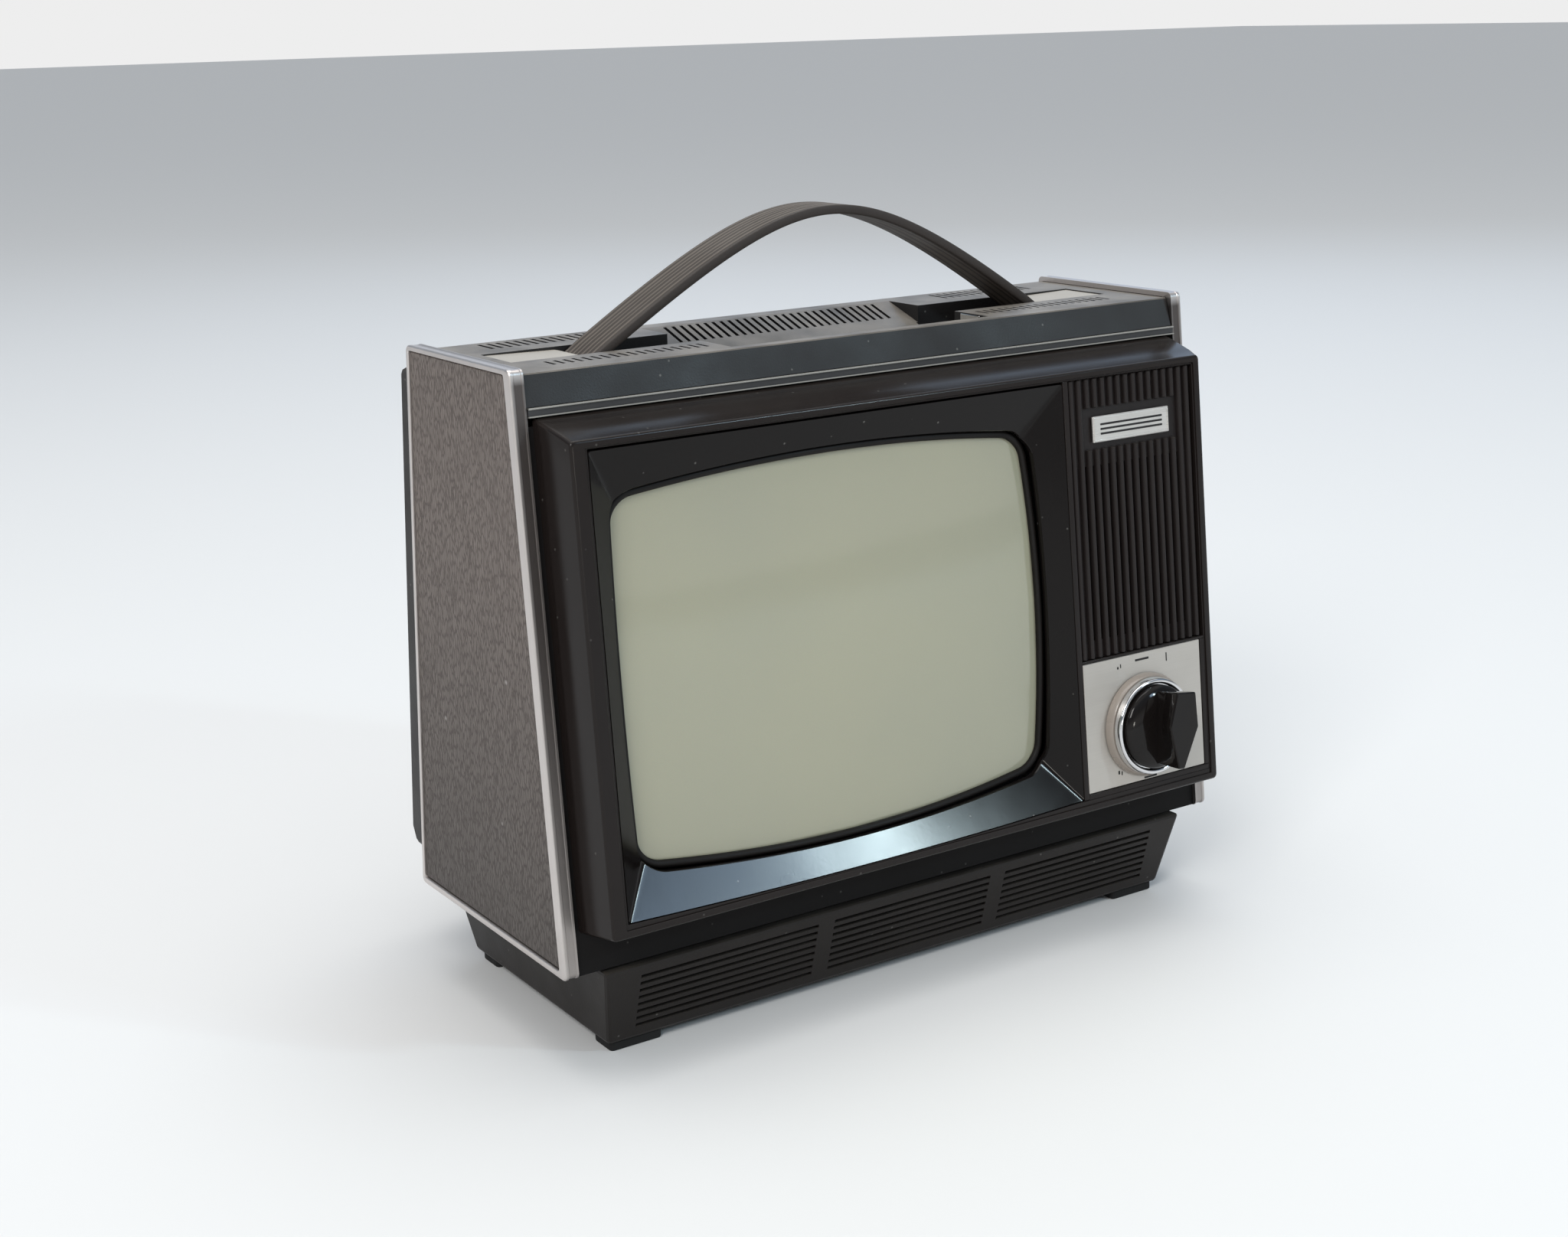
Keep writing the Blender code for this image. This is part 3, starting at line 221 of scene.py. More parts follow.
def moulded(name, colour, dust, gloss, grain=(900.0, 0.02), dusty=0.0, specks=0.0, shine=0.3, coat=0.0):
    """Moulded plastic, rubber or paper: tone patches, pale specks, dust on upper faces, fine grain."""
    mat, tree = blank_material(name)
    place = tree.nodes.new("ShaderNodeTexCoord")
    patch = tree.nodes.new("ShaderNodeTexNoise")
    tone = tree.nodes.new("ShaderNodeMix")
    speck = tree.nodes.new("ShaderNodeTexVoronoi")
    speck_size = tree.nodes.new("ShaderNodeMapRange")
    speck_mix = tree.nodes.new("ShaderNodeMix")
    face = tree.nodes.new("ShaderNodeNewGeometry")
    split = tree.nodes.new("ShaderNodeSeparateXYZ")
    upper = tree.nodes.new("ShaderNodeMapRange")
    drift = tree.nodes.new("ShaderNodeTexNoise")
    lie = tree.nodes.new("ShaderNodeMath")
    dust_mix = tree.nodes.new("ShaderNodeMix")
    rub = tree.nodes.new("ShaderNodeTexNoise")
    rough = tree.nodes.new("ShaderNodeMapRange")
    fine = tree.nodes.new("ShaderNodeTexNoise")
    bump = tree.nodes.new("ShaderNodeBump")
    shader = tree.nodes.new("ShaderNodeBsdfPrincipled")
    out = tree.nodes.new("ShaderNodeOutputMaterial")
    colour_frame = tree.nodes.new("NodeFrame")
    dust_frame = tree.nodes.new("NodeFrame")
    surface_frame = tree.nodes.new("NodeFrame")
    labels = ((place, "place on the set", -1400, 0), (patch, "slow tone patches", -1100, 500),
              (tone, "light and dark of the moulding", -800, 500),
              (speck, "where pale specks sit", -1100, 250), (speck_size, "how big a speck is", -850, 250),
              (speck_mix, "specks over the moulding", -550, 450),
              (face, "which way the face looks", -1400, -150), (split, "its upward part", -1200, -150),
              (upper, "only upper faces hold dust", -1000, -100),
              (drift, "dust lies in drifts", -1100, -300),
              (lie, "dust that stays", -750, -150), (dust_mix, "dust over the colour", -300, 300),
              (rub, "handled and untouched areas", -1100, -550),
              (rough, "gloss from area to area", -800, -550),
              (fine, "moulded grain", -1100, -800), (bump, "grain height", -700, -800),
              (shader, "plastic", 0, 0), (out, "surface", 300, 0))
    lay_out(labels, ((colour_frame, "colour", (patch, tone, speck, speck_size, speck_mix)),
                     (dust_frame, "dust", (face, split, upper, drift, lie, dust_mix)),
                     (surface_frame, "gloss and grain", (rub, rough, fine, bump))))
    patch.inputs["Scale"].default_value = 14.0
    patch.inputs["Detail"].default_value = 4.0
    tone.data_type = "RGBA"
    tone.inputs[6].default_value = (*[c * 0.82 for c in colour], 1.0)
    tone.inputs[7].default_value = (*[c * 1.18 for c in colour], 1.0)
    speck.inputs["Scale"].default_value = 90.0
    speck_size.inputs["From Min"].default_value = 0.03
    speck_size.inputs["From Max"].default_value = 0.07
    speck_size.inputs["To Min"].default_value = specks
    speck_size.inputs["To Max"].default_value = 0.0
    speck_mix.data_type = "RGBA"
    speck_mix.inputs[7].default_value = (0.42, 0.41, 0.38, 1.0)
    upper.inputs["From Min"].default_value = 0.35
    upper.inputs["From Max"].default_value = 0.95
    upper.inputs["To Max"].default_value = dusty
    drift.inputs["Scale"].default_value = 38.0
    drift.inputs["Detail"].default_value = 6.0
    lie.operation = "MULTIPLY"
    dust_mix.data_type = "RGBA"
    dust_mix.inputs[7].default_value = (*dust, 1.0)
    rub.inputs["Scale"].default_value = 22.0
    rub.inputs["Detail"].default_value = 5.0
    rough.inputs["From Min"].default_value = 0.3
    rough.inputs["From Max"].default_value = 0.7
    rough.inputs["To Min"].default_value = gloss * 0.85
    rough.inputs["To Max"].default_value = min(gloss * 1.25, 1.0)
    fine.inputs["Scale"].default_value = grain[0]
    fine.inputs["Detail"].default_value = 3.0
    bump.inputs["Strength"].default_value = grain[1] * 10
    bump.inputs["Distance"].default_value = 0.0002
    shader.inputs["Specular IOR Level"].default_value = shine
    shader.inputs["Coat Weight"].default_value = coat
    shader.inputs["Coat Roughness"].default_value = 0.06
    tree.links.new(place.outputs["Object"], patch.inputs["Vector"])
    tree.links.new(place.outputs["Object"], speck.inputs["Vector"])
    tree.links.new(place.outputs["Object"], drift.inputs["Vector"])
    tree.links.new(place.outputs["Object"], rub.inputs["Vector"])
    tree.links.new(place.outputs["Object"], fine.inputs["Vector"])
    tree.links.new(patch.outputs["Fac"], tone.inputs[0])
    tree.links.new(speck.outputs["Distance"], speck_size.inputs["Value"])
    tree.links.new(speck_size.outputs["Result"], speck_mix.inputs[0])
    tree.links.new(tone.outputs[2], speck_mix.inputs[6])
    tree.links.new(face.outputs["Normal"], split.inputs["Vector"])
    tree.links.new(split.outputs["Z"], upper.inputs["Value"])
    tree.links.new(upper.outputs["Result"], lie.inputs[0])
    tree.links.new(drift.outputs["Fac"], lie.inputs[1])
    tree.links.new(lie.outputs["Value"], dust_mix.inputs[0])
    tree.links.new(speck_mix.outputs[2], dust_mix.inputs[6])
    tree.links.new(dust_mix.outputs[2], shader.inputs["Base Color"])
    tree.links.new(rub.outputs["Fac"], rough.inputs["Value"])
    tree.links.new(rough.outputs["Result"], shader.inputs["Roughness"])
    tree.links.new(fine.outputs["Fac"], bump.inputs["Height"])
    tree.links.new(bump.outputs["Normal"], shader.inputs["Normal"])
    tree.links.new(shader.outputs["BSDF"], out.inputs["Surface"])
    return mat


def leatherette(name, ridge, crease, cell, stretch):
    """Grained vinyl: upright pebbles between bent creases, tone patches, painted shade darkening it low
    down, pale scuffs.
    """
    mat, tree = blank_material(name)
    place = tree.nodes.new("ShaderNodeTexCoord")
    wander = tree.nodes.new("ShaderNodeTexNoise")
    bend = tree.nodes.new("ShaderNodeVectorMath")
    shift = tree.nodes.new("ShaderNodeVectorMath")
    long_way = tree.nodes.new("ShaderNodeMapping")
    pebble = tree.nodes.new("ShaderNodeTexVoronoi")
    crease_width = tree.nodes.new("ShaderNodeMapRange")
    patch = tree.nodes.new("ShaderNodeTexNoise")
    patch_range = tree.nodes.new("ShaderNodeMapRange")
    tone = tree.nodes.new("ShaderNodeMix")
    soil = tree.nodes.new("ShaderNodeMix")
    level = tree.nodes.new("ShaderNodeSeparateXYZ")
    painted_shade = tree.nodes.new("ShaderNodeMapRange")
    painted_shade_mix = tree.nodes.new("ShaderNodeMix")
    scuff = tree.nodes.new("ShaderNodeTexVoronoi")
    scuff_size = tree.nodes.new("ShaderNodeMapRange")
    scuff_mix = tree.nodes.new("ShaderNodeMix")
    wrinkle = tree.nodes.new("ShaderNodeTexNoise")
    height = tree.nodes.new("ShaderNodeMath")
    bump = tree.nodes.new("ShaderNodeBump")
    rough = tree.nodes.new("ShaderNodeMapRange")
    shader = tree.nodes.new("ShaderNodeBsdfPrincipled")
    out = tree.nodes.new("ShaderNodeOutputMaterial")
    grain_frame = tree.nodes.new("NodeFrame")
    colour_frame = tree.nodes.new("NodeFrame")
    surface_frame = tree.nodes.new("NodeFrame")
    labels = ((place, "place on the panel", -1900, 0), (wander, "wandering of the grain", -1700, -250),
              (bend, "how far it wanders", -1500, -250), (shift, "bent place", -1300, 0),
              (long_way, "pebbles stand upright", -1100, 0), (pebble, "pebbles", -900, 0),
              (crease_width, "thin creases between them", -700, 0), (patch, "slow tone patches", -900, 500),
              (patch_range, "strength of the patches", -700, 500),
              (tone, "ridge and crease colour", -450, 300),
              (soil, "patches over the grain", -250, 400), (level, "height on the panel", -900, 1050),
              (painted_shade, "grime thickens downwards", -700, 1050), (painted_shade_mix, "grime over the vinyl", -150, 650),
              (scuff, "where scuffs sit", -900, 800),
              (scuff_size, "size of a scuff", -700, 800), (scuff_mix, "scuffs on top", -50, 500),
              (wrinkle, "fine wrinkles", -900, -500), (height, "grain and wrinkles", -450, -400),
              (bump, "depth of the grain", -200, -400), (rough, "creases are duller", -450, -100),
              (shader, "vinyl", 200, 0), (out, "surface", 500, 0))
    lay_out(labels, ((grain_frame, "grain pattern", (wander, bend, shift, long_way, pebble, crease_width)),
                     (colour_frame, "colour and scuffs", (patch, patch_range, tone, soil, level, painted_shade,
                                                          painted_shade_mix, scuff, scuff_size, scuff_mix)),
                     (surface_frame, "relief and gloss", (wrinkle, height, bump, rough))))
    wander.inputs["Scale"].default_value = 160.0
    wander.inputs["Detail"].default_value = 2.0
    bend.operation = "SCALE"
    bend.inputs["Scale"].default_value = 0.0022
    long_way.inputs["Scale"].default_value = stretch
    pebble.feature = "DISTANCE_TO_EDGE"
    pebble.inputs["Scale"].default_value = cell
    crease_width.inputs["From Max"].default_value = 0.22
    patch.inputs["Scale"].default_value = 26.0
    patch.inputs["Detail"].default_value = 5.0
    patch_range.inputs["From Min"].default_value = 0.3
    patch_range.inputs["From Max"].default_value = 0.7
    patch_range.inputs["To Max"].default_value = 0.35
    tone.data_type = "RGBA"
    tone.inputs[6].default_value = (*crease, 1.0)
    tone.inputs[7].default_value = (*ridge, 1.0)
    soil.data_type = "RGBA"
    soil.inputs[7].default_value = (*[c * 0.72 for c in ridge], 1.0)
    # Painted shade: lower down the panel the vinyl turns towards near black, standing in for less light
    # falling there.
    painted_shade.inputs["From Min"].default_value = 0.05
    painted_shade.inputs["From Max"].default_value = 0.25
    painted_shade.inputs["To Min"].default_value = 0.72
    painted_shade.inputs["To Max"].default_value = 0.0
    painted_shade_mix.data_type = "RGBA"
    painted_shade_mix.inputs[7].default_value = (0.032, 0.027, 0.024, 1.0)
    scuff.inputs["Scale"].default_value = 34.0
    scuff_size.inputs["From Min"].default_value = 0.02
    scuff_size.inputs["From Max"].default_value = 0.05
    scuff_size.inputs["To Min"].default_value = 0.5
    scuff_size.inputs["To Max"].default_value = 0.0
    scuff_mix.data_type = "RGBA"
    scuff_mix.inputs[7].default_value = (0.45, 0.43, 0.41, 1.0)
    wrinkle.inputs["Scale"].default_value = 1500.0
    wrinkle.inputs["Detail"].default_value = 3.0
    height.operation = "ADD"
    bump.inputs["Strength"].default_value = 0.5
    bump.inputs["Distance"].default_value = 0.00025
    rough.inputs["To Min"].default_value = 0.72
    rough.inputs["To Max"].default_value = 0.5
    tree.links.new(place.outputs["Object"], wander.inputs["Vector"])
    tree.links.new(wander.outputs["Color"], bend.inputs[0])
    tree.links.new(place.outputs["Object"], shift.inputs[0])
    tree.links.new(bend.outputs["Vector"], shift.inputs[1])
    tree.links.new(shift.outputs["Vector"], long_way.inputs["Vector"])
    tree.links.new(long_way.outputs["Vector"], pebble.inputs["Vector"])
    tree.links.new(pebble.outputs["Distance"], crease_width.inputs["Value"])
    tree.links.new(place.outputs["Object"], patch.inputs["Vector"])
    tree.links.new(patch.outputs["Fac"], patch_range.inputs["Value"])
    tree.links.new(crease_width.outputs["Result"], tone.inputs[0])
    tree.links.new(tone.outputs[2], soil.inputs[6])
    tree.links.new(patch_range.outputs["Result"], soil.inputs[0])
    tree.links.new(place.outputs["Object"], scuff.inputs["Vector"])
    tree.links.new(scuff.outputs["Distance"], scuff_size.inputs["Value"])
    tree.links.new(scuff_size.outputs["Result"], scuff_mix.inputs[0])
    tree.links.new(place.outputs["Object"], level.inputs["Vector"])
    tree.links.new(level.outputs["Z"], painted_shade.inputs["Value"])
    tree.links.new(painted_shade.outputs["Result"], painted_shade_mix.inputs[0])
    tree.links.new(soil.outputs[2], painted_shade_mix.inputs[6])
    tree.links.new(painted_shade_mix.outputs[2], scuff_mix.inputs[6])
    tree.links.new(scuff_mix.outputs[2], shader.inputs["Base Color"])
    tree.links.new(place.outputs["Object"], wrinkle.inputs["Vector"])
    tree.links.new(crease_width.outputs["Result"], height.inputs[0])
    tree.links.new(wrinkle.outputs["Fac"], height.inputs[1])
    tree.links.new(height.outputs["Value"], bump.inputs["Height"])
    tree.links.new(crease_width.outputs["Result"], rough.inputs["Value"])
    tree.links.new(rough.outputs["Result"], shader.inputs["Roughness"])
    tree.links.new(bump.outputs["Normal"], shader.inputs["Normal"])
    tree.links.new(shader.outputs["BSDF"], out.inputs["Surface"])
    return mat


def drawn_metal(name, colour, gloss, lines, relief, metal=1.0, tarnish=0.15, dull=None):
    """Drawn or plated metal: long fine lines, tarnish clouds, gloss that follows the lines.

    With a dull colour, the points' painted_sheen values paint light and shade on the metal: 1 gives the
    bright metal as a painted highlight, 0 the dull colour as painted shade.
    """
    mat, tree = blank_material(name)
    place = tree.nodes.new("ShaderNodeTexCoord")
    draw = tree.nodes.new("ShaderNodeMapping")
    line = tree.nodes.new("ShaderNodeTexNoise")
    cloud = tree.nodes.new("ShaderNodeTexNoise")
    cloud_range = tree.nodes.new("ShaderNodeMapRange")
    tone = tree.nodes.new("ShaderNodeMix")
    aged = tree.nodes.new("ShaderNodeMix")
    painted_sheen = tree.nodes.new("ShaderNodeAttribute")
    painted_light_mix = tree.nodes.new("ShaderNodeMix")
    rough = tree.nodes.new("ShaderNodeMapRange")
    bump = tree.nodes.new("ShaderNodeBump")
    shader = tree.nodes.new("ShaderNodeBsdfPrincipled")
    out = tree.nodes.new("ShaderNodeOutputMaterial")
    line_frame = tree.nodes.new("NodeFrame")
    colour_frame = tree.nodes.new("NodeFrame")
    labels = ((place, "place on the set", -1200, 0), (draw, "drawing direction", -1000, 0),
              (line, "fine drawn lines", -800, 0), (cloud, "tarnish clouds", -800, 350),
              (cloud_range, "how much tarnish", -600, 350), (tone, "bright and dull lines", -350, 200),
              (aged, "tarnish over the metal", -150, 300), (painted_sheen, "painted_highlight edges", -350, 550),
              (painted_light_mix, "dull faces, painted_highlight edges", 0, 400), (rough, "gloss of the lines", -350, -100),
              (bump, "height of the lines", -350, -350), (shader, "metal", 100, 0), (out, "surface", 400, 0))
    lay_out(labels, ((line_frame, "drawn lines", (draw, line, rough, bump)),
                     (colour_frame, "colour and tarnish", (cloud, cloud_range, tone, aged, painted_sheen, painted_light_mix))))
    draw.inputs["Scale"].default_value = lines
    line.inputs["Scale"].default_value = 1.0
    line.inputs["Detail"].default_value = 4.0
    cloud.inputs["Scale"].default_value = 30.0
    cloud.inputs["Detail"].default_value = 4.0
    cloud_range.inputs["From Min"].default_value = 0.4
    cloud_range.inputs["From Max"].default_value = 0.75
    cloud_range.inputs["To Max"].default_value = tarnish
    tone.data_type = "RGBA"
    tone.inputs[6].default_value = (*[c * 0.9 for c in colour], 1.0)
    tone.inputs[7].default_value = (*[min(c * 1.08, 1.0) for c in colour], 1.0)
    aged.data_type = "RGBA"
    aged.inputs[7].default_value = (colour[0] * 0.55, colour[1] * 0.52, colour[2] * 0.47, 1.0)
    painted_sheen.attribute_name = "painted_sheen"
    # Painted light: the dull colour is painted shade and the bright metal over it a painted highlight, mixed
    # point by point by painted_sheen.
    painted_light_mix.data_type = "RGBA"
    painted_light_mix.inputs[0].default_value = 1.0
    painted_light_mix.inputs[6].default_value = (*(dull or colour), 1.0)
    rough.inputs["From Min"].default_value = 0.25
    rough.inputs["From Max"].default_value = 0.75
    rough.inputs["To Min"].default_value = gloss * 0.8
    rough.inputs["To Max"].default_value = min(gloss * 1.3, 1.0)
    bump.inputs["Strength"].default_value = relief
    bump.inputs["Distance"].default_value = 0.0001
    shader.inputs["Metallic"].default_value = metal
    tree.links.new(place.outputs["Object"], draw.inputs["Vector"])
    tree.links.new(draw.outputs["Vector"], line.inputs["Vector"])
    tree.links.new(place.outputs["Object"], cloud.inputs["Vector"])
    tree.links.new(cloud.outputs["Fac"], cloud_range.inputs["Value"])
    tree.links.new(line.outputs["Fac"], tone.inputs[0])
    tree.links.new(tone.outputs[2], aged.inputs[6])
    tree.links.new(cloud_range.outputs["Result"], aged.inputs[0])
    if dull:
        tree.links.new(painted_sheen.outputs["Fac"], painted_light_mix.inputs[0])
    tree.links.new(aged.outputs[2], painted_light_mix.inputs[7])
    tree.links.new(painted_light_mix.outputs[2], shader.inputs["Base Color"])
    tree.links.new(line.outputs["Fac"], rough.inputs["Value"])
    tree.links.new(rough.outputs["Result"], shader.inputs["Roughness"])
    tree.links.new(line.outputs["Fac"], bump.inputs["Height"])
    tree.links.new(bump.outputs["Normal"], shader.inputs["Normal"])
    tree.links.new(shader.outputs["BSDF"], out.inputs["Surface"])
    return mat


def tube_glass(name, phosphor, shade, coating):
    """Picture tube: phosphor where the points' "phosphor" value is 1, and the dark coating elsewhere."""
    mat, tree = blank_material(name)
    place = tree.nodes.new("ShaderNodeTexCoord")
    lit = tree.nodes.new("ShaderNodeAttribute")
    cloud = tree.nodes.new("ShaderNodeTexNoise")
    cloud_range = tree.nodes.new("ShaderNodeMapRange")
    tone = tree.nodes.new("ShaderNodeMix")
    grain = tree.nodes.new("ShaderNodeTexNoise")
    grain_mix = tree.nodes.new("ShaderNodeMix")
    border = tree.nodes.new("ShaderNodeMix")
    smear = tree.nodes.new("ShaderNodeTexNoise")
    rough = tree.nodes.new("ShaderNodeMapRange")
    shader = tree.nodes.new("ShaderNodeBsdfPrincipled")
    out = tree.nodes.new("ShaderNodeOutputMaterial")
    colour_frame = tree.nodes.new("NodeFrame")
    gloss_frame = tree.nodes.new("NodeFrame")
    labels = ((place, "place on the tube", -1200, 0), (lit, "phosphor area", -700, -150),
              (cloud, "uneven phosphor", -1000, 300), (cloud_range, "how uneven", -800, 300),
              (tone, "phosphor tones", -550, 300), (grain, "phosphor powder", -1000, 550),
              (grain_mix, "powder over the tones", -350, 350),
              (border, "screen inside its border", -150, 200),
              (smear, "finger smears", -1000, -350), (rough, "smears dull the glass", -700, -350),
              (shader, "glass over phosphor", 100, 0), (out, "surface", 400, 0))
    lay_out(labels, ((colour_frame, "phosphor", (cloud, cloud_range, tone, grain, grain_mix, border)),
                     (gloss_frame, "glass surface", (smear, rough))))
    lit.attribute_name = "phosphor"
    cloud.inputs["Scale"].default_value = 7.0
    cloud.inputs["Detail"].default_value = 2.0
    cloud_range.inputs["From Min"].default_value = 0.3
    cloud_range.inputs["From Max"].default_value = 0.7
    tone.data_type = "RGBA"
    tone.inputs[6].default_value = (*phosphor, 1.0)
    tone.inputs[7].default_value = (*shade, 1.0)
    grain.inputs["Scale"].default_value = 2600.0
    grain_mix.data_type = "RGBA"
    grain_mix.blend_type = "MULTIPLY"
    grain_mix.inputs[0].default_value = 0.12
    border.data_type = "RGBA"
    border.inputs[6].default_value = (*coating, 1.0)
    smear.inputs["Scale"].default_value = 18.0
    smear.inputs["Detail"].default_value = 5.0
    rough.inputs["To Min"].default_value = 0.05
    rough.inputs["To Max"].default_value = 0.16
    shader.inputs["IOR"].default_value = 1.52
    shader.inputs["Coat Weight"].default_value = 0.4
    shader.inputs["Coat Roughness"].default_value = 0.04
    tree.links.new(place.outputs["Object"], cloud.inputs["Vector"])
    tree.links.new(place.outputs["Object"], grain.inputs["Vector"])
    tree.links.new(place.outputs["Object"], smear.inputs["Vector"])
    tree.links.new(cloud.outputs["Fac"], cloud_range.inputs["Value"])
    tree.links.new(cloud_range.outputs["Result"], tone.inputs[0])
    tree.links.new(tone.outputs[2], grain_mix.inputs[6])
    tree.links.new(grain.outputs["Color"], grain_mix.inputs[7])
    tree.links.new(lit.outputs["Fac"], border.inputs[0])
    tree.links.new(grain_mix.outputs[2], border.inputs[7])
    tree.links.new(border.outputs[2], shader.inputs["Base Color"])
    tree.links.new(smear.outputs["Fac"], rough.inputs["Value"])
    tree.links.new(rough.outputs["Result"], shader.inputs["Roughness"])
    tree.links.new(shader.outputs["BSDF"], out.inputs["Surface"])
    return mat


# Each finish: its name, its colour (linear red, green, blue), then the values its function names.
DUST = (0.27, 0.245, 0.205)
case_plastic = moulded("case_plastic", (0.0080, 0.0074, 0.0074), DUST, 0.38, dusty=0.12, specks=0.08,
                       shine=0.07)
top_plastic = moulded("top_plastic", (0.014, 0.0130, 0.0130), (0.20, 0.18, 0.155), 0.42, (1100.0, 0.03),
                      dusty=1.6, specks=0.2)
bezel_plastic = moulded("bezel_plastic", (0.0115, 0.0088, 0.0080), DUST, 0.2, (500.0, 0.004), dusty=0.03,
                        specks=0.1, shine=0.2)
mask_plastic = moulded("mask_plastic", (0.0055, 0.0043, 0.0040), DUST, 0.12, (500.0, 0.003), specks=0.2,
                       shine=0.17)
gasket_rubber = moulded("gasket_rubber", (0.006, 0.0048, 0.0042), DUST, 0.5, shine=0.2)
grille_plastic = moulded("grille_plastic", (0.0135, 0.0105, 0.0100), DUST, 0.42, dusty=0.1, shine=0.22)
base_plastic = moulded("base_plastic", (0.0135, 0.0110, 0.0098), DUST, 0.42, dusty=0.2, specks=0.15,
                       shine=0.22)
rear_plastic = moulded("rear_plastic", (0.022, 0.0205, 0.020), DUST, 0.5, (700.0, 0.06), dusty=0.5,
                       specks=0.2)
ledge_plastic = moulded("ledge_plastic", (0.040, 0.040, 0.042), DUST, 0.3, dusty=0.3)
# Pale bead colour: a painted highlight along the ledge's two edges.
painted_highlight_edge = moulded("painted_highlight_edge", (0.26, 0.255, 0.235), DUST, 0.3, (700.0, 0.03))
foot_rubber = moulded("foot_rubber", (0.008, 0.008, 0.008), DUST, 0.75, (900.0, 0.08))
strap_vinyl = moulded("strap_vinyl", (0.034, 0.028, 0.025), DUST, 0.5, (1400.0, 0.08), dusty=0.2, shine=0.2)
# Paler strap finish for the rib crests: a painted highlight standing in for light on the tops of the ribs.
strap_painted_crest_highlight = moulded("strap_painted_crest_highlight", (0.098, 0.082, 0.070), DUST, 0.5, (1400.0, 0.08), dusty=0.3, shine=0.2)
guide_plastic = moulded("guide_plastic", (0.40, 0.365, 0.31), DUST, 0.38, dusty=0.3, specks=0.3)
knob_plastic = moulded("knob_plastic", (0.0075, 0.0062, 0.0058), DUST, 0.08, (400.0, 0.002), shine=0.22)
rear_knob_plastic = moulded("rear_knob_plastic", (0.011, 0.011, 0.011), DUST, 0.35, dusty=0.2)
skirt_plastic = moulded("skirt_plastic", (0.255, 0.222, 0.192), DUST, 0.25, (600.0, 0.01), shine=0.4,
                        coat=0.2)
socket_phenolic = moulded("socket_phenolic", (0.10, 0.04, 0.02), DUST, 0.5)
board_laminate = moulded("board_laminate", (0.20, 0.11, 0.04), DUST, 0.6, dusty=1.0)
cone_paper = moulded("cone_paper", (0.02, 0.019, 0.018), DUST, 0.9, (1200.0, 0.15))
ferrite_dull = moulded("ferrite_dull", (0.045, 0.045, 0.05), DUST, 0.65, (700.0, 0.06))
winding_lacquer = moulded("winding_lacquer", (0.02, 0.02, 0.022), DUST, 0.45, dusty=0.5)
mark_ink = moulded("mark_ink", (0.012, 0.011, 0.011), DUST, 0.5)
side_vinyl = leatherette("side_vinyl", (0.158, 0.129, 0.113), (0.068, 0.054, 0.047), 620.0, (1.0, 1.0, 0.22))
# The side frames' dull colour is painted shade; painted_sheen on each point mixes it with the bright metal,
# which stands as a painted highlight.
trim_aluminium = drawn_metal("trim_aluminium", (0.66, 0.62, 0.60), 0.38, (2200.0, 2200.0, 12.0), 0.05,
                             dull=(0.075, 0.064, 0.060))
plate_aluminium = drawn_metal("plate_aluminium", (0.46, 0.435, 0.40), 0.42, (12.0, 900.0, 2400.0), 0.06,
                              0.35)
name_aluminium = drawn_metal("name_aluminium", (0.66, 0.64, 0.61), 0.3, (10.0, 900.0, 2600.0), 0.05, 0.85)
ring_chrome = drawn_metal("ring_chrome", (0.70, 0.70, 0.71), 0.07, (60.0, 60.0, 60.0), 0.01, tarnish=0.1)
clip_chrome = drawn_metal("clip_chrome", (0.78, 0.77, 0.74), 0.2, (60.0, 60.0, 60.0), 0.02)
zinc_steel = drawn_metal("zinc_steel", (0.50, 0.50, 0.49), 0.36, (900.0, 60.0, 900.0), 0.05, tarnish=0.4)
band_steel = drawn_metal("band_steel", (0.40, 0.40, 0.39), 0.4, (60.0, 900.0, 60.0), 0.06, tarnish=0.4)
can_tinplate = drawn_metal("can_tinplate", (0.58, 0.58, 0.56), 0.3, (60.0, 60.0, 900.0), 0.05, tarnish=0.4)
core_laminations = drawn_metal("core_laminations", (0.12, 0.12, 0.13), 0.5, (20.0, 1400.0, 20.0), 0.4, 0.6)
coil_copper = drawn_metal("coil_copper", (0.48, 0.19, 0.08), 0.35, (300.0, 1800.0, 300.0), 0.3, 0.8)
socket_nickel = drawn_metal("socket_nickel", (0.52, 0.50, 0.46), 0.25, (80.0, 80.0, 80.0), 0.02, tarnish=0.4)
screen_tube = tube_glass("screen_tube", (0.336, 0.330, 0.238), (0.308, 0.308, 0.232), (0.008, 0.007, 0.007))

CAD_FINISHES = (
    (case_plastic, "body_shell front_frame"), (top_plastic, "top_cover"),
    (side_vinyl, "side_panel_left side_panel_right"), (name_aluminium, "name_plate"),
    (plate_aluminium, "control_plate"), (base_plastic, "base_stand"), (rear_plastic, "rear_cover"),
    (guide_plastic, "strap_guide_left strap_guide_right"), (clip_chrome, "strap_clip_left strap_clip_right"),
    (zinc_steel, "selector_shaft cover_screw_1 cover_screw_2 cover_screw_3 cover_screw_4 speaker_basket"),
    (band_steel, "tension_band"), (can_tinplate, "tuner_can"), (core_laminations, "mains_transformer"),
    (coil_copper, "deflection_coils"), (ferrite_dull, "yoke_core speaker_magnet"),
    (socket_phenolic, "tube_socket"), (board_laminate, "main_board"), (cone_paper, "speaker_cone"),
    (winding_lacquer, "line_transformer"), (rear_knob_plastic, "power_switch mains_inlet"))
for finish, names in CAD_FINISHES:
    for node in names.split():
        NODES[node].data.materials.clear()
        NODES[node].data.materials.append(finish)


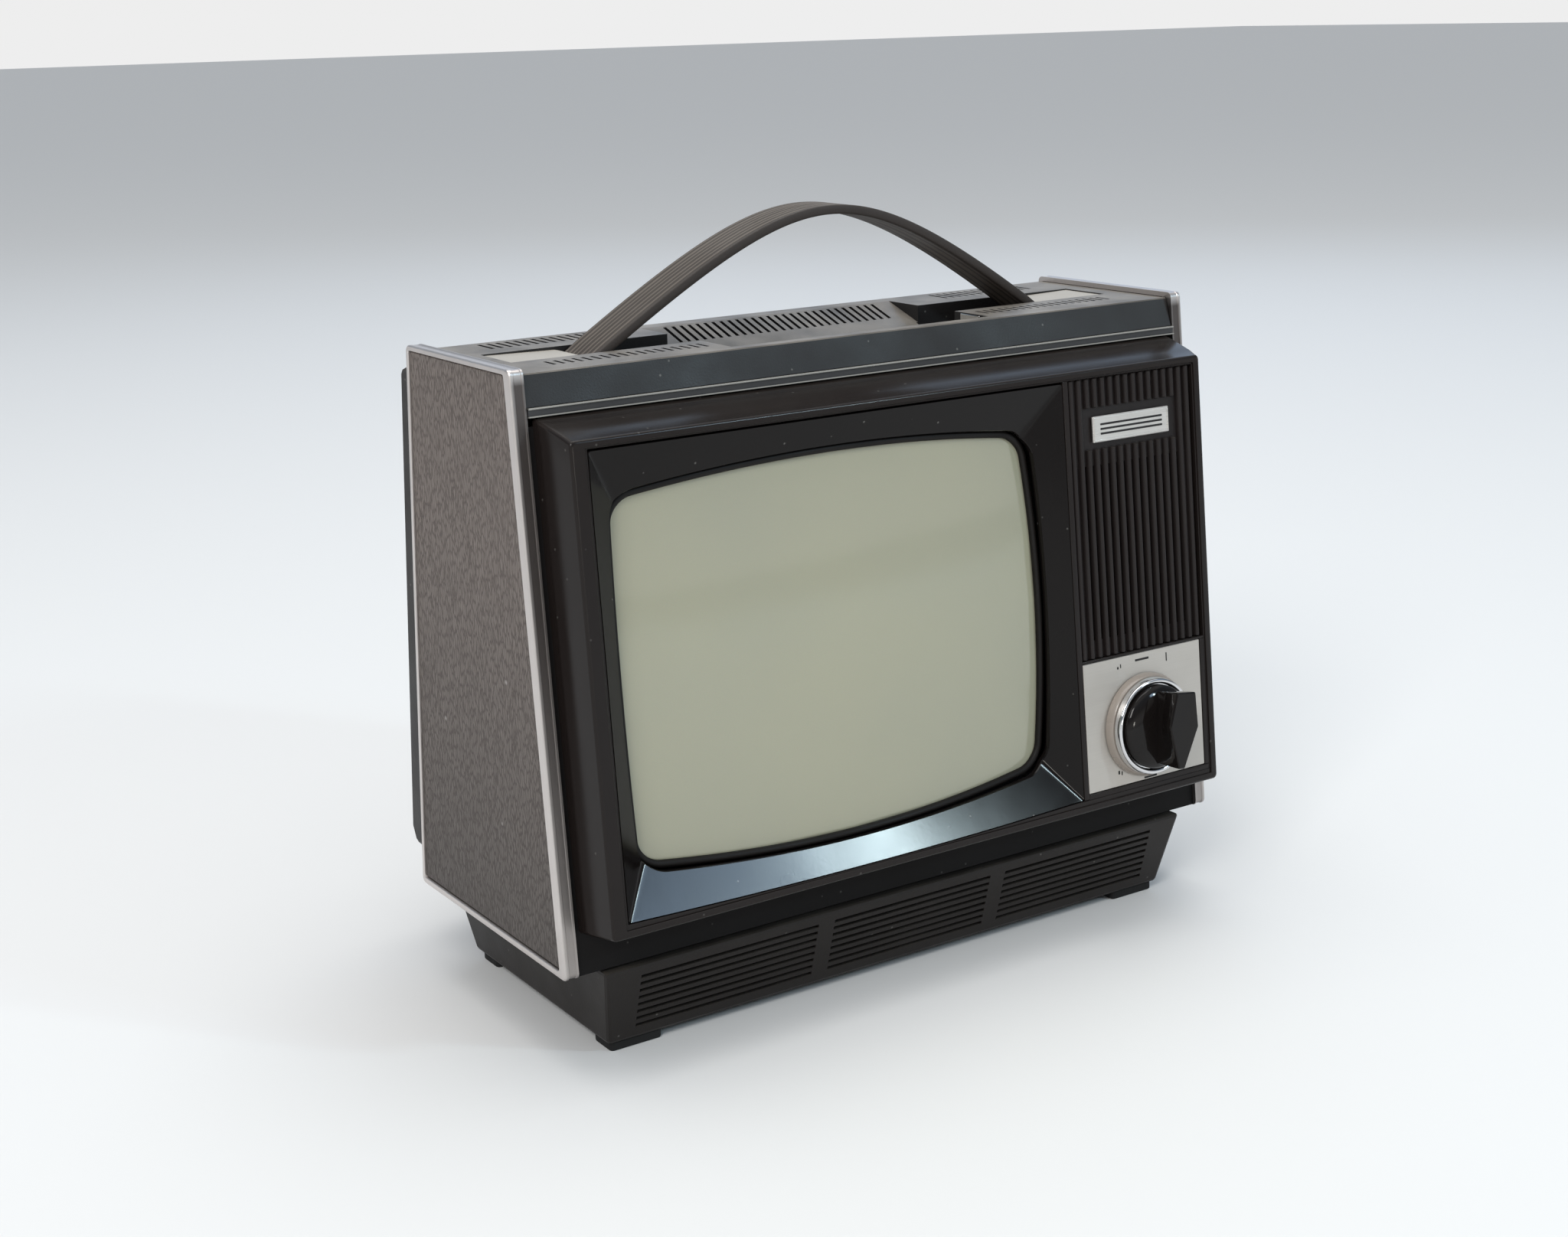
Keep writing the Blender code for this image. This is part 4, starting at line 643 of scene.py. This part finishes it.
# ---------------------------------------------------------------- picture tube, gasket and mask
def picture_tube():
    """Loops outwards over the bulged face, each a share of its edge, then back along the funnel."""
    loops = []
    for share in np.append(np.linspace(0.02, 0.9, 23), np.linspace(0.92, 1.0, 9)):
        ring = oval(TUBE_HW * share, TUBE_HV * share, 2.6 + 3.9 * share)
        loops.append(at_depth(ring, glass_depth(ring)))
    # rows of depth, half width, half height and the superellipse's power
    funnel = np.array([(26.0, 132.0, 102.0, 6.5), (40.0, TUBE_HW, TUBE_HV, 6.2), (58.0, 119.0, 92.0, 4.6),
                       (82.0, 92.0, 73.0, 3.4), (106.0, 60.0, 51.0, 2.6), (126.0, 36.0, 33.0, 2.2),
                       (142.0, 18.0, 17.5, 2.0), (154.0, 10.5, 10.5, 2.0), (226.0, 10.0, 10.0, 2.0)])
    for depth in np.append(np.linspace(24.5, 150.0, 40), (154.0, 190.0, 226.0)):
        half_w, half_v, power = (np.interp(depth, funnel[:, 0], funnel[:, i]) for i in (1, 2, 3))
        loops.append(at_depth(oval(half_w, half_v, power), depth))
    grid = np.array(loops)
    tube = piece("tube_bulb", [(on_front(grid), "cap")], "cabinet", screen_tube,
                 ["picture_tube"], 60.0)
    x, depth, v = grid.reshape(-1, 3).T
    fade = 1.5
    reach_x = SCREEN_HW + fade - BULGE_X * ((v - SCREEN_V) / SCREEN_HV) ** 2
    reach_v = SCREEN_HV + fade - BULGE_V * ((x - SCREEN_X) / SCREEN_HW) ** 2
    inside = np.minimum(reach_x - np.abs(x - SCREEN_X), reach_v - np.abs(v - SCREEN_V))
    lit = np.clip(inside / fade, 0, 1) * (depth < 24.4)
    tube.data.attributes.new("phosphor", "FLOAT", "POINT").data.foreach_set("value", lit.astype(np.float32))


def screen_gasket():
    """Soft lip round the screen outline: (outset, depth from the glass) rows with a rounded crown."""
    rows = [(3.45, -0.3), (3.45, -2.2), (3.0, -2.8), (2.2, -3.1), (1.3, -3.0), (0.5, -2.5), (0.1, -1.8),
            (0.0, -0.3)]
    loops = []
    for outset, rise in rows:
        ring = barrel(SCREEN_HW + outset, SCREEN_HV + outset, 11.5 + outset)
        loops.append(at_depth(ring, glass_depth(ring) + rise))
    piece("gasket_lip", [(on_front(np.array(loops)), "ring")], "cabinet", gasket_rubber,
          ["screen_gasket"], 50.0)


def mask_depth(x, v, soft=0.35):
    """Four slopes meeting in mitres: start + fall times the least of four shares, eased by soft mm."""
    x0, x1, v0, v1 = MASK
    bow = MASK_BOW * (1 - (2 * (x - x0) / (x1 - x0) - 1) ** 2)
    run_l, run_r, run_b, run_t = MASK_RUN
    shares = np.stack([(x - x0) / run_l, (x1 - x) / run_r, (v - v0 + bow) / (run_b + bow), (v1 - v) / run_t])
    drop = MASK_FALL * shares
    least = -soft * np.log(np.sum(np.exp(-(drop - drop.min(0)) / soft), axis=0)) + drop.min(0)
    return MASK_START + np.maximum(least, 0.0)


def screen_mask():
    """Loops down the slopes from the mask's outer rectangle to its hole, then a lip, a wall and the back."""
    x0, x1, v0, v1 = MASK
    corner, side, clearance = 16, 40, 3.6

    def outer(inset):
        ring = rounded_rectangle(x0 + inset, x1 - inset, v0 + inset, v1 - inset, 1.2, corner, side)
        low = ring[:, 1] < SCREEN_V
        bow = MASK_BOW * (1 - (2 * (ring[:, 0] - x0) / (x1 - x0) - 1) ** 2)
        ring[:, 1] -= np.where(low, np.clip(bow, 0, None), 0.0)
        return ring

    hole = barrel(SCREEN_HW + clearance, SCREEN_HV + clearance, 15.0, corner, side)
    rim = outer(0.0)
    loops = [at_depth(rim, 4.8), at_depth(rim, 1.9), at_depth(outer(0.25), 1.5)]
    for t in np.linspace(0.012, 0.985, 44):
        ring = rim * (1 - t) + hole * t
        loops.append(at_depth(ring, mask_depth(ring[:, 0], ring[:, 1])))
    lip = mask_depth(hole[:, 0], hole[:, 1])
    loops += [at_depth(hole, lip + 0.5), at_depth(hole, lip + 3.0)]
    for t in (0.7, 0.35):
        ring = rim * (1 - t) + hole * t
        loops.append(at_depth(ring, mask_depth(ring[:, 0], ring[:, 1]) + 3.3))
    piece("mask_slopes", [(on_front(np.array(loops)), "ring")], "cabinet", mask_plastic,
          ["screen_mask"], 24.0)


# ---------------------------------------------------------------- bezel and grille
def bezel():
    """Rectangular loops: tapered outer wall, rounded front edge, rim, step, inner wall; and four bars."""
    half, high, depth, edge = 193.75, 237.7, 28.0, 1.7
    rows = [(-197.3, 197.3, -1.5, 247.6, depth + 0.4, 2.4)]
    for share in (0.6, 0.25):
        wide = half + 3.55 * share
        rows.append((-wide, wide, -1.5 * share, high + 9.9 * share, depth * share, 2.4))
    for a in np.linspace(0, math.pi / 2, 6):
        inset, d = edge * (1 - math.cos(a)), edge * (1 - math.sin(a))
        rows.append((-half + inset, half - inset, inset, high - inset, d, 2.4))
    rows += [(-186.3, 189.5, 3.7, 234.1, 0.0, 0.9), (-186.0, 189.2, 4.0, 233.8, 0.3, 0.7),
             (-186.0, 189.2, 4.0, 233.8, 1.0, 0.7), (-184.8, 188.9, 6.3, 233.1, 1.0, 0.4),
             (-184.5, 188.6, 6.7, 232.8, 1.3, 0.4), (-184.5, 188.6, 6.7, 232.8, depth - 3.0, 0.4),
             (-184.5, 188.6, 6.7, 232.8, depth, 0.4)]
    loops = []
    for x0, x1, v0, v1, d, r in rows:
        ring = rounded_rectangle(x0, x1, v0, v1, r, 6, 24)
        inner = abs(x0) < 187.0
        low = (ring[:, 1] < 20.0) & inner
        bow = MASK_BOW * (1 - (2 * (ring[:, 0] - MASK[0]) / (MASK[1] - MASK[0]) - 1) ** 2)
        sag = np.where(low & (d > 0.9), np.clip(bow, 0, None), 0.0)
        ring[:, 1] -= sag
        loops.append(at_depth(ring, d))
    shells = [(on_front(np.array(loops)), "ring")]
    for x0, x1, v0, v1 in ((97.5, 100.9, 6.9, 232.9), (100.9, 188.7, 81.0, 82.4), (100.9, 188.7, 6.6, 9.5),
                           (185.5, 188.7, 9.5, 81.0)):
        shells.append((on_front(block(x0, x1, 1.0, 6.0, v0, v1, 0.3, 0.35)), "cap"))
    piece("bezel_frame", shells, "cabinet", bezel_plastic, ["bezel"], 30.0)


def speaker_grille():
    """Ribs with the nose (-1.5 cos a, 3.4 - 2.5 sin^0.8 a), cut at the name plate; plates behind."""
    pitch, first, count = 5.42, 103.5, 16
    arc = np.linspace(0.0, math.pi, 13)
    nose = np.stack([-1.5 * np.cos(arc), 3.4 - 2.5 * np.sin(arc) ** 0.8], axis=-1)
    section = np.concatenate([nose, [(1.5, 5.2), (-1.5, 5.2)]])
    shells = []
    for i in range(count):
        centre = first + pitch * i
        spans = [(82.8, 194.8), (216.9, 232.6)] if 113.6 - 1.5 < centre < 174.2 + 1.5 else [(82.8, 232.6)]
        for low, high in spans:
            rows = []
            for v, shrink in ((low, 0.75), (low + 0.4, 1.0), (high - 0.4, 1.0), (high, 0.75)):
                depth = 5.2 - (5.2 - section[:, 1]) * shrink
                rows.append(np.stack([centre + section[:, 0], depth, np.full(len(section), v)], axis=-1))
            shells.append((on_front(np.array(rows)), "cap"))
    for x0, x1, v0, v1 in ((101.3, 188.2, 186.0, 232.6), (101.3, 188.2, 82.8, 92.0),
                           (101.3, 108.1, 92.0, 186.0), (181.6, 188.2, 92.0, 186.0)):
        shells.append((on_front(block(x0, x1, 3.6, 5.3, v0, v1, 0.2, 0.15)), "cap"))
    piece("grille_ribs", shells, "cabinet", grille_plastic, ["speaker_grille"], 40.0)


def name_relief():
    """Blank plate: a thin raised border and three plain rules, each a low rounded bar."""
    x0, x1, v0, v1, top, low = 117.6, 170.0, 198.9, 211.6, 1.0, 1.4
    bars = [(x0, x1, v0, v0 + 0.7), (x0, x1, v1 - 0.7, v1), (x0, x0 + 0.7, v0 + 0.7, v1 - 0.7),
            (x1 - 0.7, x1, v0 + 0.7, v1 - 0.7)]
    shells = [(on_front(block(a, b, top, low, c, d, 0.2, 0.15)), "cap") for a, b, c, d in bars]
    piece("name_plate_border", shells, "cabinet", name_aluminium)
    rules = [(122.0, 165.6, v, v + 1.1) for v in (202.2, 204.7, 207.2)]
    shells = [(on_front(block(a, b, 1.1, 1.4, c, d, 0.3, 0.1)), "cap") for a, b, c, d in rules]
    piece("name_plate_rules", shells, "cabinet", mark_ink)


def dial_marks():
    """Printed marks round the selector: dashes above and below, a tick, and two pairs of dots."""
    marks = [(-4.6, 5.2, 35.4, 36.6), (17.6, 18.4, 31.8, 36.6), (-17.6, -16.5, 33.2, 34.6),
             (-15.4, -14.7, 33.6, 35.8), (-20.4, -19.2, -24.6, -22.6), (-18.2, -17.4, -25.4, -23.2),
             (-2.0, 7.2, -30.6, -29.5)]
    top, low = 1.14, 1.19
    shells = [(on_front(block(KNOB_X + a, KNOB_X + b, top, low, KNOB_V + c, KNOB_V + d, 0.2, 0.02)), "cap")
              for a, b, c, d in marks]
    piece("dial_marks", shells, "cabinet", mark_ink)


# ---------------------------------------------------------------- selector
def at_selector(grid):
    """Turned grid set on the selector's axis."""
    return on_front(grid + np.array((KNOB_X, 0.0, KNOB_V)))


def selector():
    """Skirt, chrome ring and black knob turned about the selector's axis, and the lofted bar grip."""
    skirt = [(5.5, 0.8), (28.2, 0.8), (28.6, 0.3), (28.6, -0.6), (28.1, -2.2), (27.5, -3.5), (27.1, -4.0),
             (5.5, -4.0)]
    piece("skirt_ring", [(at_selector(turned(skirt, 128)), "ring")], "tuning", skirt_plastic,
          ["tuning_skirt"])
    arc = np.linspace(0, math.pi, 9)
    ring = [(19.0, -6.6), (19.0, -4.3), (26.2, -4.3), (26.7, -4.9), (26.6, -6.0)]
    ring += [(24.95 + 1.35 * math.cos(a), -7.5 - 1.35 * math.sin(a)) for a in arc]
    ring += [(23.3, -6.6)]
    piece("bright_ring", [(at_selector(turned(ring, 128)), "ring")], "selector", ring_chrome,
          ["chrome_ring"], 40.0)
    rim, shoulder, crown = 22.9, -9.4, 5.6
    disc = [(0.3, -7.0), (rim, -7.0), (rim, shoulder)]
    for t in np.linspace(0.0, 1.0, 16)[1:]:
        a = t * math.pi / 2
        disc.append((rim * math.cos(a) ** 0.9 + 0.3 * t, shoulder - crown * math.sin(a)))
    # rows of depth, half widths at the toe, middle and top, and how far the grip reaches down and up
    keys = np.array([(-9.0, 2.4, 5.0, 4.5, 19.6, 19.8), (-18.5, 2.2, 5.4, 4.5, 19.5, 20.6),
                     (-26.0, 2.0, 9.4, 6.3, 19.7, 21.5), (-29.6, 2.0, 10.1, 6.6, 19.7, 21.7),
                     (-30.3, 1.5, 9.4, 6.1, 18.9, 20.9)])
    loops = []
    for depth in np.concatenate([np.linspace(-9, -29.3, 25), (-29.7, -30.0, -30.25)]):
        toe, mid, top, low, high = (np.interp(-depth, -keys[:, 0], keys[:, i]) for i in range(1, 6))
        corners = np.array([(-toe, -low), (-mid, 3.0), (-top, high), (top, high), (mid, 3.0), (toe, -low)])
        ring = rounded_corners(corners[:, ::-1], 0.9, 4, 8)[:, ::-1]
        loops.append(np.stack([ring[:, 0], np.full(len(ring), depth), ring[:, 1]], axis=-1))
    lean = math.radians(KNOB_LEAN)
    turn = np.array([(math.cos(lean), 0, -math.sin(lean)), (0, 1, 0), (math.sin(lean), 0, math.cos(lean))])
    shells = [(at_selector(turned(disc, 128)), "cap"), (at_selector(np.array(loops) @ turn), "cap")]
    piece("selector_bar_knob", shells, "selector", knob_plastic, ["selector_knob"], 30.0)


# ---------------------------------------------------------------- side frames
def inset_outline(distances):
    """Corners of the side outline once each side has moved inwards: where shifted neighbours cross."""
    a, b = PANEL, np.roll(PANEL, -1, axis=0)
    along = (b - a) / np.linalg.norm(b - a, axis=1)[:, None]
    normal = np.stack([along[:, 1], -along[:, 0]], axis=1)
    base = a + normal * np.asarray(distances)[:, None]
    prev_base, prev_along = np.roll(base, 1, axis=0), np.roll(along, 1, axis=0)
    cross = prev_along[:, 0] * along[:, 1] - prev_along[:, 1] * along[:, 0]
    gap = base - prev_base
    k = (gap[:, 0] * along[:, 1] - gap[:, 1] * along[:, 0]) / cross
    return prev_base + prev_along * k[:, None]


def rounded_corners(corners, radius, steps=8, side=10):
    """Each corner becomes an arc tangent to its two sides; straight runs between arcs are divided evenly."""
    before = np.roll(corners, 1, axis=0) - corners
    after = np.roll(corners, -1, axis=0) - corners
    before /= np.linalg.norm(before, axis=1)[:, None]
    after /= np.linalg.norm(after, axis=1)[:, None]
    half = np.arccos(np.clip(np.sum(before * after, axis=1), -1, 1)) / 2
    reach = radius / np.tan(half)
    middle = before + after
    centre = corners + middle / np.linalg.norm(middle, axis=1)[:, None] * (radius / np.sin(half))[:, None]
    start, end = corners + before * reach[:, None] - centre, corners + after * reach[:, None] - centre
    share = np.linspace(0, 1, steps + 1)[None, :, None]
    blend = start[:, None, :] * (1 - share) + end[:, None, :] * share
    arcs = centre[:, None, :] + blend / np.linalg.norm(blend, axis=2)[:, :, None] * radius
    run = np.linspace(0, 1, side + 2)[1:-1][None, :, None]
    runs = arcs[:, -1][:, None, :] * (1 - run) + np.roll(arcs[:, 0], -1, axis=0)[:, None, :] * run
    return np.concatenate([arcs, runs], axis=1).reshape(-1, 2)


def side_frames():
    """Drawn section round the side outline: (share of the width, x) rows, a rounded lip and a groove."""
    inner = CASE_HALF - TRIM_T
    rows = [(0.0, inner), (0.0, inner + 1.0), (0.06, inner + 1.3), (0.06, 205.2), (0.0, 205.5), (0.0, 206.9),
            (0.07, 207.5), (0.2, 207.85), (0.4, CASE_HALF), (0.88, CASE_HALF), (0.97, 207.7), (1.0, 207.2),
            (1.0, inner)]
    # Painted light across the section, one value a row: 1 paints the bright metal as a highlight on the
    # outer face and its rounded lips, 0 leaves the edge face round the outline and its groove to the values
    # below.
    shine = np.array([0.12, 0.12, 0.0, 0.0, 0.1, 0.5, 0.9, 1.0, 1.0, 1.0, 0.8, 0.6, 0.2])
    for side, name in ((-1, "left"), (1, "right")):
        loops = []
        for share, x in rows:
            corners = rounded_corners(inset_outline(TRIM_WIDTHS * share), 3.0 - 1.5 * share, 8, 60)
            loops.append(np.stack([np.full(len(corners), side * x), corners[:, 0], corners[:, 1]], axis=-1))
        grid = np.array(loops)
        trim = piece("side_frame_" + name, [(on_case(grid), "ring")], "cabinet",
                     trim_aluminium, ["side_trim_" + name], 28.0)
        # Painted shade on the front edge face: dark at the top, lighter towards the bottom (band); the top,
        # rear and bottom edge faces take 0.75, mostly the bright metal.
        front = np.clip(1.4 - grid[..., 1] / 30.0, 0, 1) * (grid[..., 2] < 289.0)
        band = 0.05 + 0.40 * np.clip(1.0 - grid[..., 2] / 170.0, 0, 1) ** 1.2
        painted_sheen = shine[:, None] + (1 - shine[:, None]) * np.where(front > 0, band, 0.75)
        values = painted_sheen.ravel().astype(np.float32)
        trim.data.attributes.new("painted_sheen", "FLOAT", "POINT").data.foreach_set("value", values)


def ledge():
    """Dull strip between two thin pale beads, each a round bead carried from side to side; the beads' pale
    colour is a painted highlight on the strip's edges.
    """
    strip = rounded_rectangle(24.9, 33.0, 269.5, 273.5, 0.3, 3, 2)
    upper = rounded_rectangle(24.1, 26.2, 272.9, 273.7, 0.35, 4, 2)
    lower = rounded_rectangle(23.7, 26.2, 269.3, 269.9, 0.28, 4, 2)
    for name, finish, outline in (("ledge_body", ledge_plastic, strip),
                                  ("ledge_edge_upper", painted_highlight_edge, upper),
                                  ("ledge_edge_lower", painted_highlight_edge, lower)):
        grid = np.stack([np.stack([np.full(len(outline), x), outline[:, 0], outline[:, 1]], axis=-1)
                         for x in (-199.8, -199.4, 0.0, 199.4, 199.8)])
        piece(name, [(on_case(grid), "cap")], "cabinet", finish, ["ledge_strip"])


# ---------------------------------------------------------------- strap
def strap():
    """Ribbed section carried along the arch z = top - sqrt(soft + (slope (x - lean))^2) and its two feet."""
    x = np.linspace(-134.0, 134.0, 121)
    lean = 2.4 * (1 - (x / 140.0) ** 2)
    arch = np.stack([x, 406.4 - np.sqrt(3072.0 + (0.75 * (x - lean)) ** 2)], axis=-1)
    foot = np.array([(140.0, 287.2), (145.0, 284.0), (151.0, 282.4), (159.0, 281.8), (172.0, 281.6)])
    line = np.concatenate([foot[::-1] * (-1, 1), arch, foot])
    length = np.append(0.0, np.cumsum(np.linalg.norm(np.diff(line, axis=0), axis=1)))
    even = np.linspace(0.0, length[-1], 261)
    path = np.stack([np.interp(even, length, line[:, i]) for i in (0, 1)], axis=-1)
    soft = path.copy()
    for _ in range(3):
        soft[1:-1] = 0.25 * soft[:-2] + 0.5 * soft[1:-1] + 0.25 * soft[2:]
    tangent = np.gradient(soft, axis=0)
    tangent /= np.linalg.norm(tangent, axis=1)[:, None]
    down = np.stack([tangent[:, 1], -tangent[:, 0]], axis=1)
    bevel, ribbed = 0.9, STRAP_WIDTH - 2 * STRAP_EDGE
    across = np.linspace(bevel, STRAP_WIDTH - bevel, 92)
    wave = np.clip((across - STRAP_EDGE) / ribbed, 0, 1)
    groove = 0.85 * (0.5 - 0.5 * np.cos(2 * math.pi * STRAP_RIBS * wave)) ** 0.7
    turn = np.linspace(math.pi / 2, -math.pi / 2, 9)
    right = np.stack([STRAP_WIDTH - bevel + bevel * np.cos(turn),
                      STRAP_T / 2 - (STRAP_T / 2) * np.sin(turn)], axis=-1)
    under = np.stack([np.linspace(STRAP_WIDTH - bevel, bevel, 12), np.full(12, STRAP_T)], axis=-1)
    left = right[::-1] * (-1, 1) + (STRAP_WIDTH, 0)
    section = np.concatenate([np.stack([across, groove], axis=-1), right[1:-1], under, left[1:-1]])
    spot = soft[:, None, :] + down[:, None, :] * section[None, :, 1:2]
    y = np.broadcast_to(STRAP_Y0 + section[:, 0], spot.shape[:2])
    grid = np.stack([spot[..., 0], y, spot[..., 1]], axis=-1)
    band = piece("carrying_strap", [(on_case(grid), "cap")], "cabinet", strap_vinyl,
                 ["strap_handle"], 45.0)
    # Painted highlight: faces on the rib crests take the paler second finish, so the ribs show as light and
    # dark stripes.
    band.data.materials.append(strap_painted_crest_highlight)
    middles = np.empty(3 * len(band.data.polygons), dtype=np.float32)
    band.data.polygons.foreach_get("center", middles)
    from_front = (middles[1::3] - case_zero[1]) / MM - STRAP_Y0
    phase = (from_front - STRAP_EDGE) / ribbed
    crest = (np.cos(2 * math.pi * STRAP_RIBS * phase) > 0.45) & (phase > 0.0) & (phase < 1.0)
    band.data.polygons.foreach_set("material_index", crest.astype(np.int32))


# ---------------------------------------------------------------- feet, rear knobs and sockets
def feet():
    """Rubber blocks with a quarter-round lower edge."""
    for node in ("foot_front_left", "foot_front_right", "foot_rear_left", "foot_rear_right"):
        low, high = (np.array(corner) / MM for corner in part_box(node))
        grid = block(low[0], high[0], low[2], high[2], low[1], high[1], 2.5, 1.0)[..., [0, 2, 1]]
        piece(node.replace("foot", "rubber_foot"), [(grid * MM, "cap")], "cabinet",
              foot_rubber, [node])


def rear_fittings():
    """Fluted knobs and turned sockets on the rear plane."""
    knob = [(0.2, -6.0), (2.8, -6.0), (2.8, 0.6), (8.0, 0.6), (8.5, 1.0), (8.6, 1.6), (8.3, 8.6), (8.0, 9.5),
            (7.3, 10.2), (6.2, 10.4), (0.2, 10.4)]
    for body, node, x in (("volume", "volume_knob", 60.0), ("brightness", "brightness_knob", 84.0),
                          ("contrast", "contrast_knob", 108.0), ("frame_hold", "frame_hold_knob", 132.0)):
        place = np.array((x, 0.0, REAR_KNOB_V))
        grip = turned(knob, 144, 24, 0.5, (4, 5, 6))
        line = block(x - 0.6, x + 0.6, -10.6, -10.2, REAR_KNOB_V + 1.0, REAR_KNOB_V + 7.2, 0.3, 0.1)
        line *= (1, -1, 1)
        piece(body + "_fluted_knob", [(on_rear(grip + place), "cap")], body,
              rear_knob_plastic, [node])
        piece(body + "_pointer", [(on_rear(line), "cap")], body, name_aluminium)
    for node, x, v, r, bore in (("aerial_socket", -150.0, 84.0, 6.4, 4.75),
                                ("earphone_socket", -150.0, 52.0, 4.6, 1.8)):
        rows = [(bore, -9.0), (bore, 2.2), (bore + 0.3, 2.6), (r + 0.4, 2.6), (r + 1.2, 2.3), (r + 1.6, 1.6),
                (r + 1.6, 0.3), (r - 0.8, 0.3), (r - 0.8, -12.0), (0.2, -12.0), (0.2, -9.0)]
        piece(node + "_turned", [(on_rear(turned(rows, 96) + (x, 0.0, v)), "ring")], "cabinet",
              socket_nickel, [node])


picture_tube()
screen_gasket()
screen_mask()
bezel()
speaker_grille()
name_relief()
dial_marks()
selector()
side_frames()
ledge()
strap()
feet()
rear_fittings()

# ---------------------------------------------------------------- floor, light and camera
floor_finish = bpy.data.materials.new("studio_floor")
floor_finish.use_nodes = True
floor_finish.node_tree.nodes["Principled BSDF"].inputs["Base Color"].default_value = (0.72, 0.72, 0.71, 1.0)
floor_finish.node_tree.nodes["Principled BSDF"].inputs["Roughness"].default_value = 0.9
floor_mesh = bpy.data.meshes.new("studio_floor")
floor_mesh.from_pydata([(-30, -30, 0), (30, -30, 0), (30, 30, 0), (-30, 30, 0)], [], [(0, 1, 2, 3)])
floor_mesh.materials.append(floor_finish)
floor = bpy.data.objects.new("studio_floor", floor_mesh)
bpy.context.scene.collection.objects.link(floor)

world = bpy.data.worlds.new("studio")
bpy.context.scene.world = world
world.use_nodes = True
sky = world.node_tree
sky.nodes.clear()
direction = sky.nodes.new("ShaderNodeTexCoord")
height = sky.nodes.new("ShaderNodeSeparateXYZ")
wall = sky.nodes.new("ShaderNodeValToRGB")
glow = sky.nodes.new("ShaderNodeBackground")
sky_out = sky.nodes.new("ShaderNodeOutputWorld")
for node, label, x in ((direction, "direction", -800), (height, "height above the horizon", -600),
                       (wall, "pale wall, dim upper room", -400), (glow, "studio glow", -100),
                       (sky_out, "world", 150)):
    node.label = label
    node.location = (x, 0)
wall.color_ramp.elements[0].position = 0.0
wall.color_ramp.elements[0].color = (0.90, 0.90, 0.90, 1.0)
wall.color_ramp.elements[1].position = 1.0
wall.color_ramp.elements[1].color = (0.92, 0.92, 0.93, 1.0)
for position, colour in ((0.10, (0.88, 0.88, 0.88, 1.0)), (0.28, (0.20, 0.22, 0.25, 1.0)),
                         (0.60, (0.22, 0.31, 0.41, 1.0)), (0.74, (0.85, 0.86, 0.88, 1.0))):
    wall.color_ramp.elements.new(position).color = colour
glow.inputs["Strength"].default_value = 0.95
sky.links.new(direction.outputs["Generated"], height.inputs["Vector"])
sky.links.new(height.outputs["Z"], wall.inputs["Fac"])
sky.links.new(wall.outputs["Color"], glow.inputs["Color"])
sky.links.new(glow.outputs["Background"], sky_out.inputs["Surface"])

# name, place, aim, size, power and colour; the two windows are what the mask's lower slope mirrors
LIGHTS = (("key_softbox", (-3.2, -2.4, 3.0), (0.0, 0.0, 0.15), (1.8, 1.8), 120.0, (1.0, 0.975, 0.945)),
          ("overhead_softbox", (0.1, 0.2, 3.2), (0.0, 0.0, 0.1), (2.4, 2.0), 40.0, (1.0, 0.99, 0.97)),
          ("window_left", (1.86, -2.99, 2.04), (-0.12, -0.11, 0.09), (0.42, 0.60), 11.5,
           (0.55, 0.76, 1.0)),
          ("window_right", (2.125, -2.95, 1.89), (-0.045, -0.11, 0.09), (0.15, 0.36), 19.0,
           (0.76, 0.95, 1.0)),
          ("low_window", (-0.25, -3.1, 0.32), (0.14, -0.12, 0.12), (0.26, 0.22), 3.5, (1.0, 0.97, 0.88)),
          ("back_card", (2.1, 2.2, 2.0), (0.0, 0.0, 0.2), (2.6, 1.6), 14.0, (0.62, 0.77, 1.0)))
for name, place, aim, size, power, colour in LIGHTS:
    lamp = bpy.data.lights.new(name, "AREA")
    lamp.shape = "RECTANGLE"
    lamp.size, lamp.size_y = size
    lamp.energy = power
    lamp.color = colour
    holder = bpy.data.objects.new(name, lamp)
    holder.location = place
    holder.rotation_euler = (Vector(place) - Vector(aim)).to_track_quat("Z", "Y").to_euler()
    bpy.context.scene.collection.objects.link(holder)

camera = bpy.data.cameras.new("camera")
camera.lens, camera.sensor_width = 51.856, 36.0
camera.shift_x, camera.shift_y = 0.008514, -0.04869
camera.clip_start, camera.clip_end = 0.01, 100.0
camera_object = bpy.data.objects.new("camera", camera)
right = Vector((0.83616, -0.54790, -0.02517))
up = Vector((0.14611, 0.17829, 0.97307))
spot = Vector((-0.66493, -0.99059, 0.49855))
turn = Matrix((right, up, right.cross(up))).transposed()
camera_object.matrix_world = Matrix.Translation(spot) @ turn.to_4x4()
bpy.context.scene.collection.objects.link(camera_object)
bpy.context.scene.camera = camera_object
bpy.context.scene.view_settings.view_transform = "Standard"
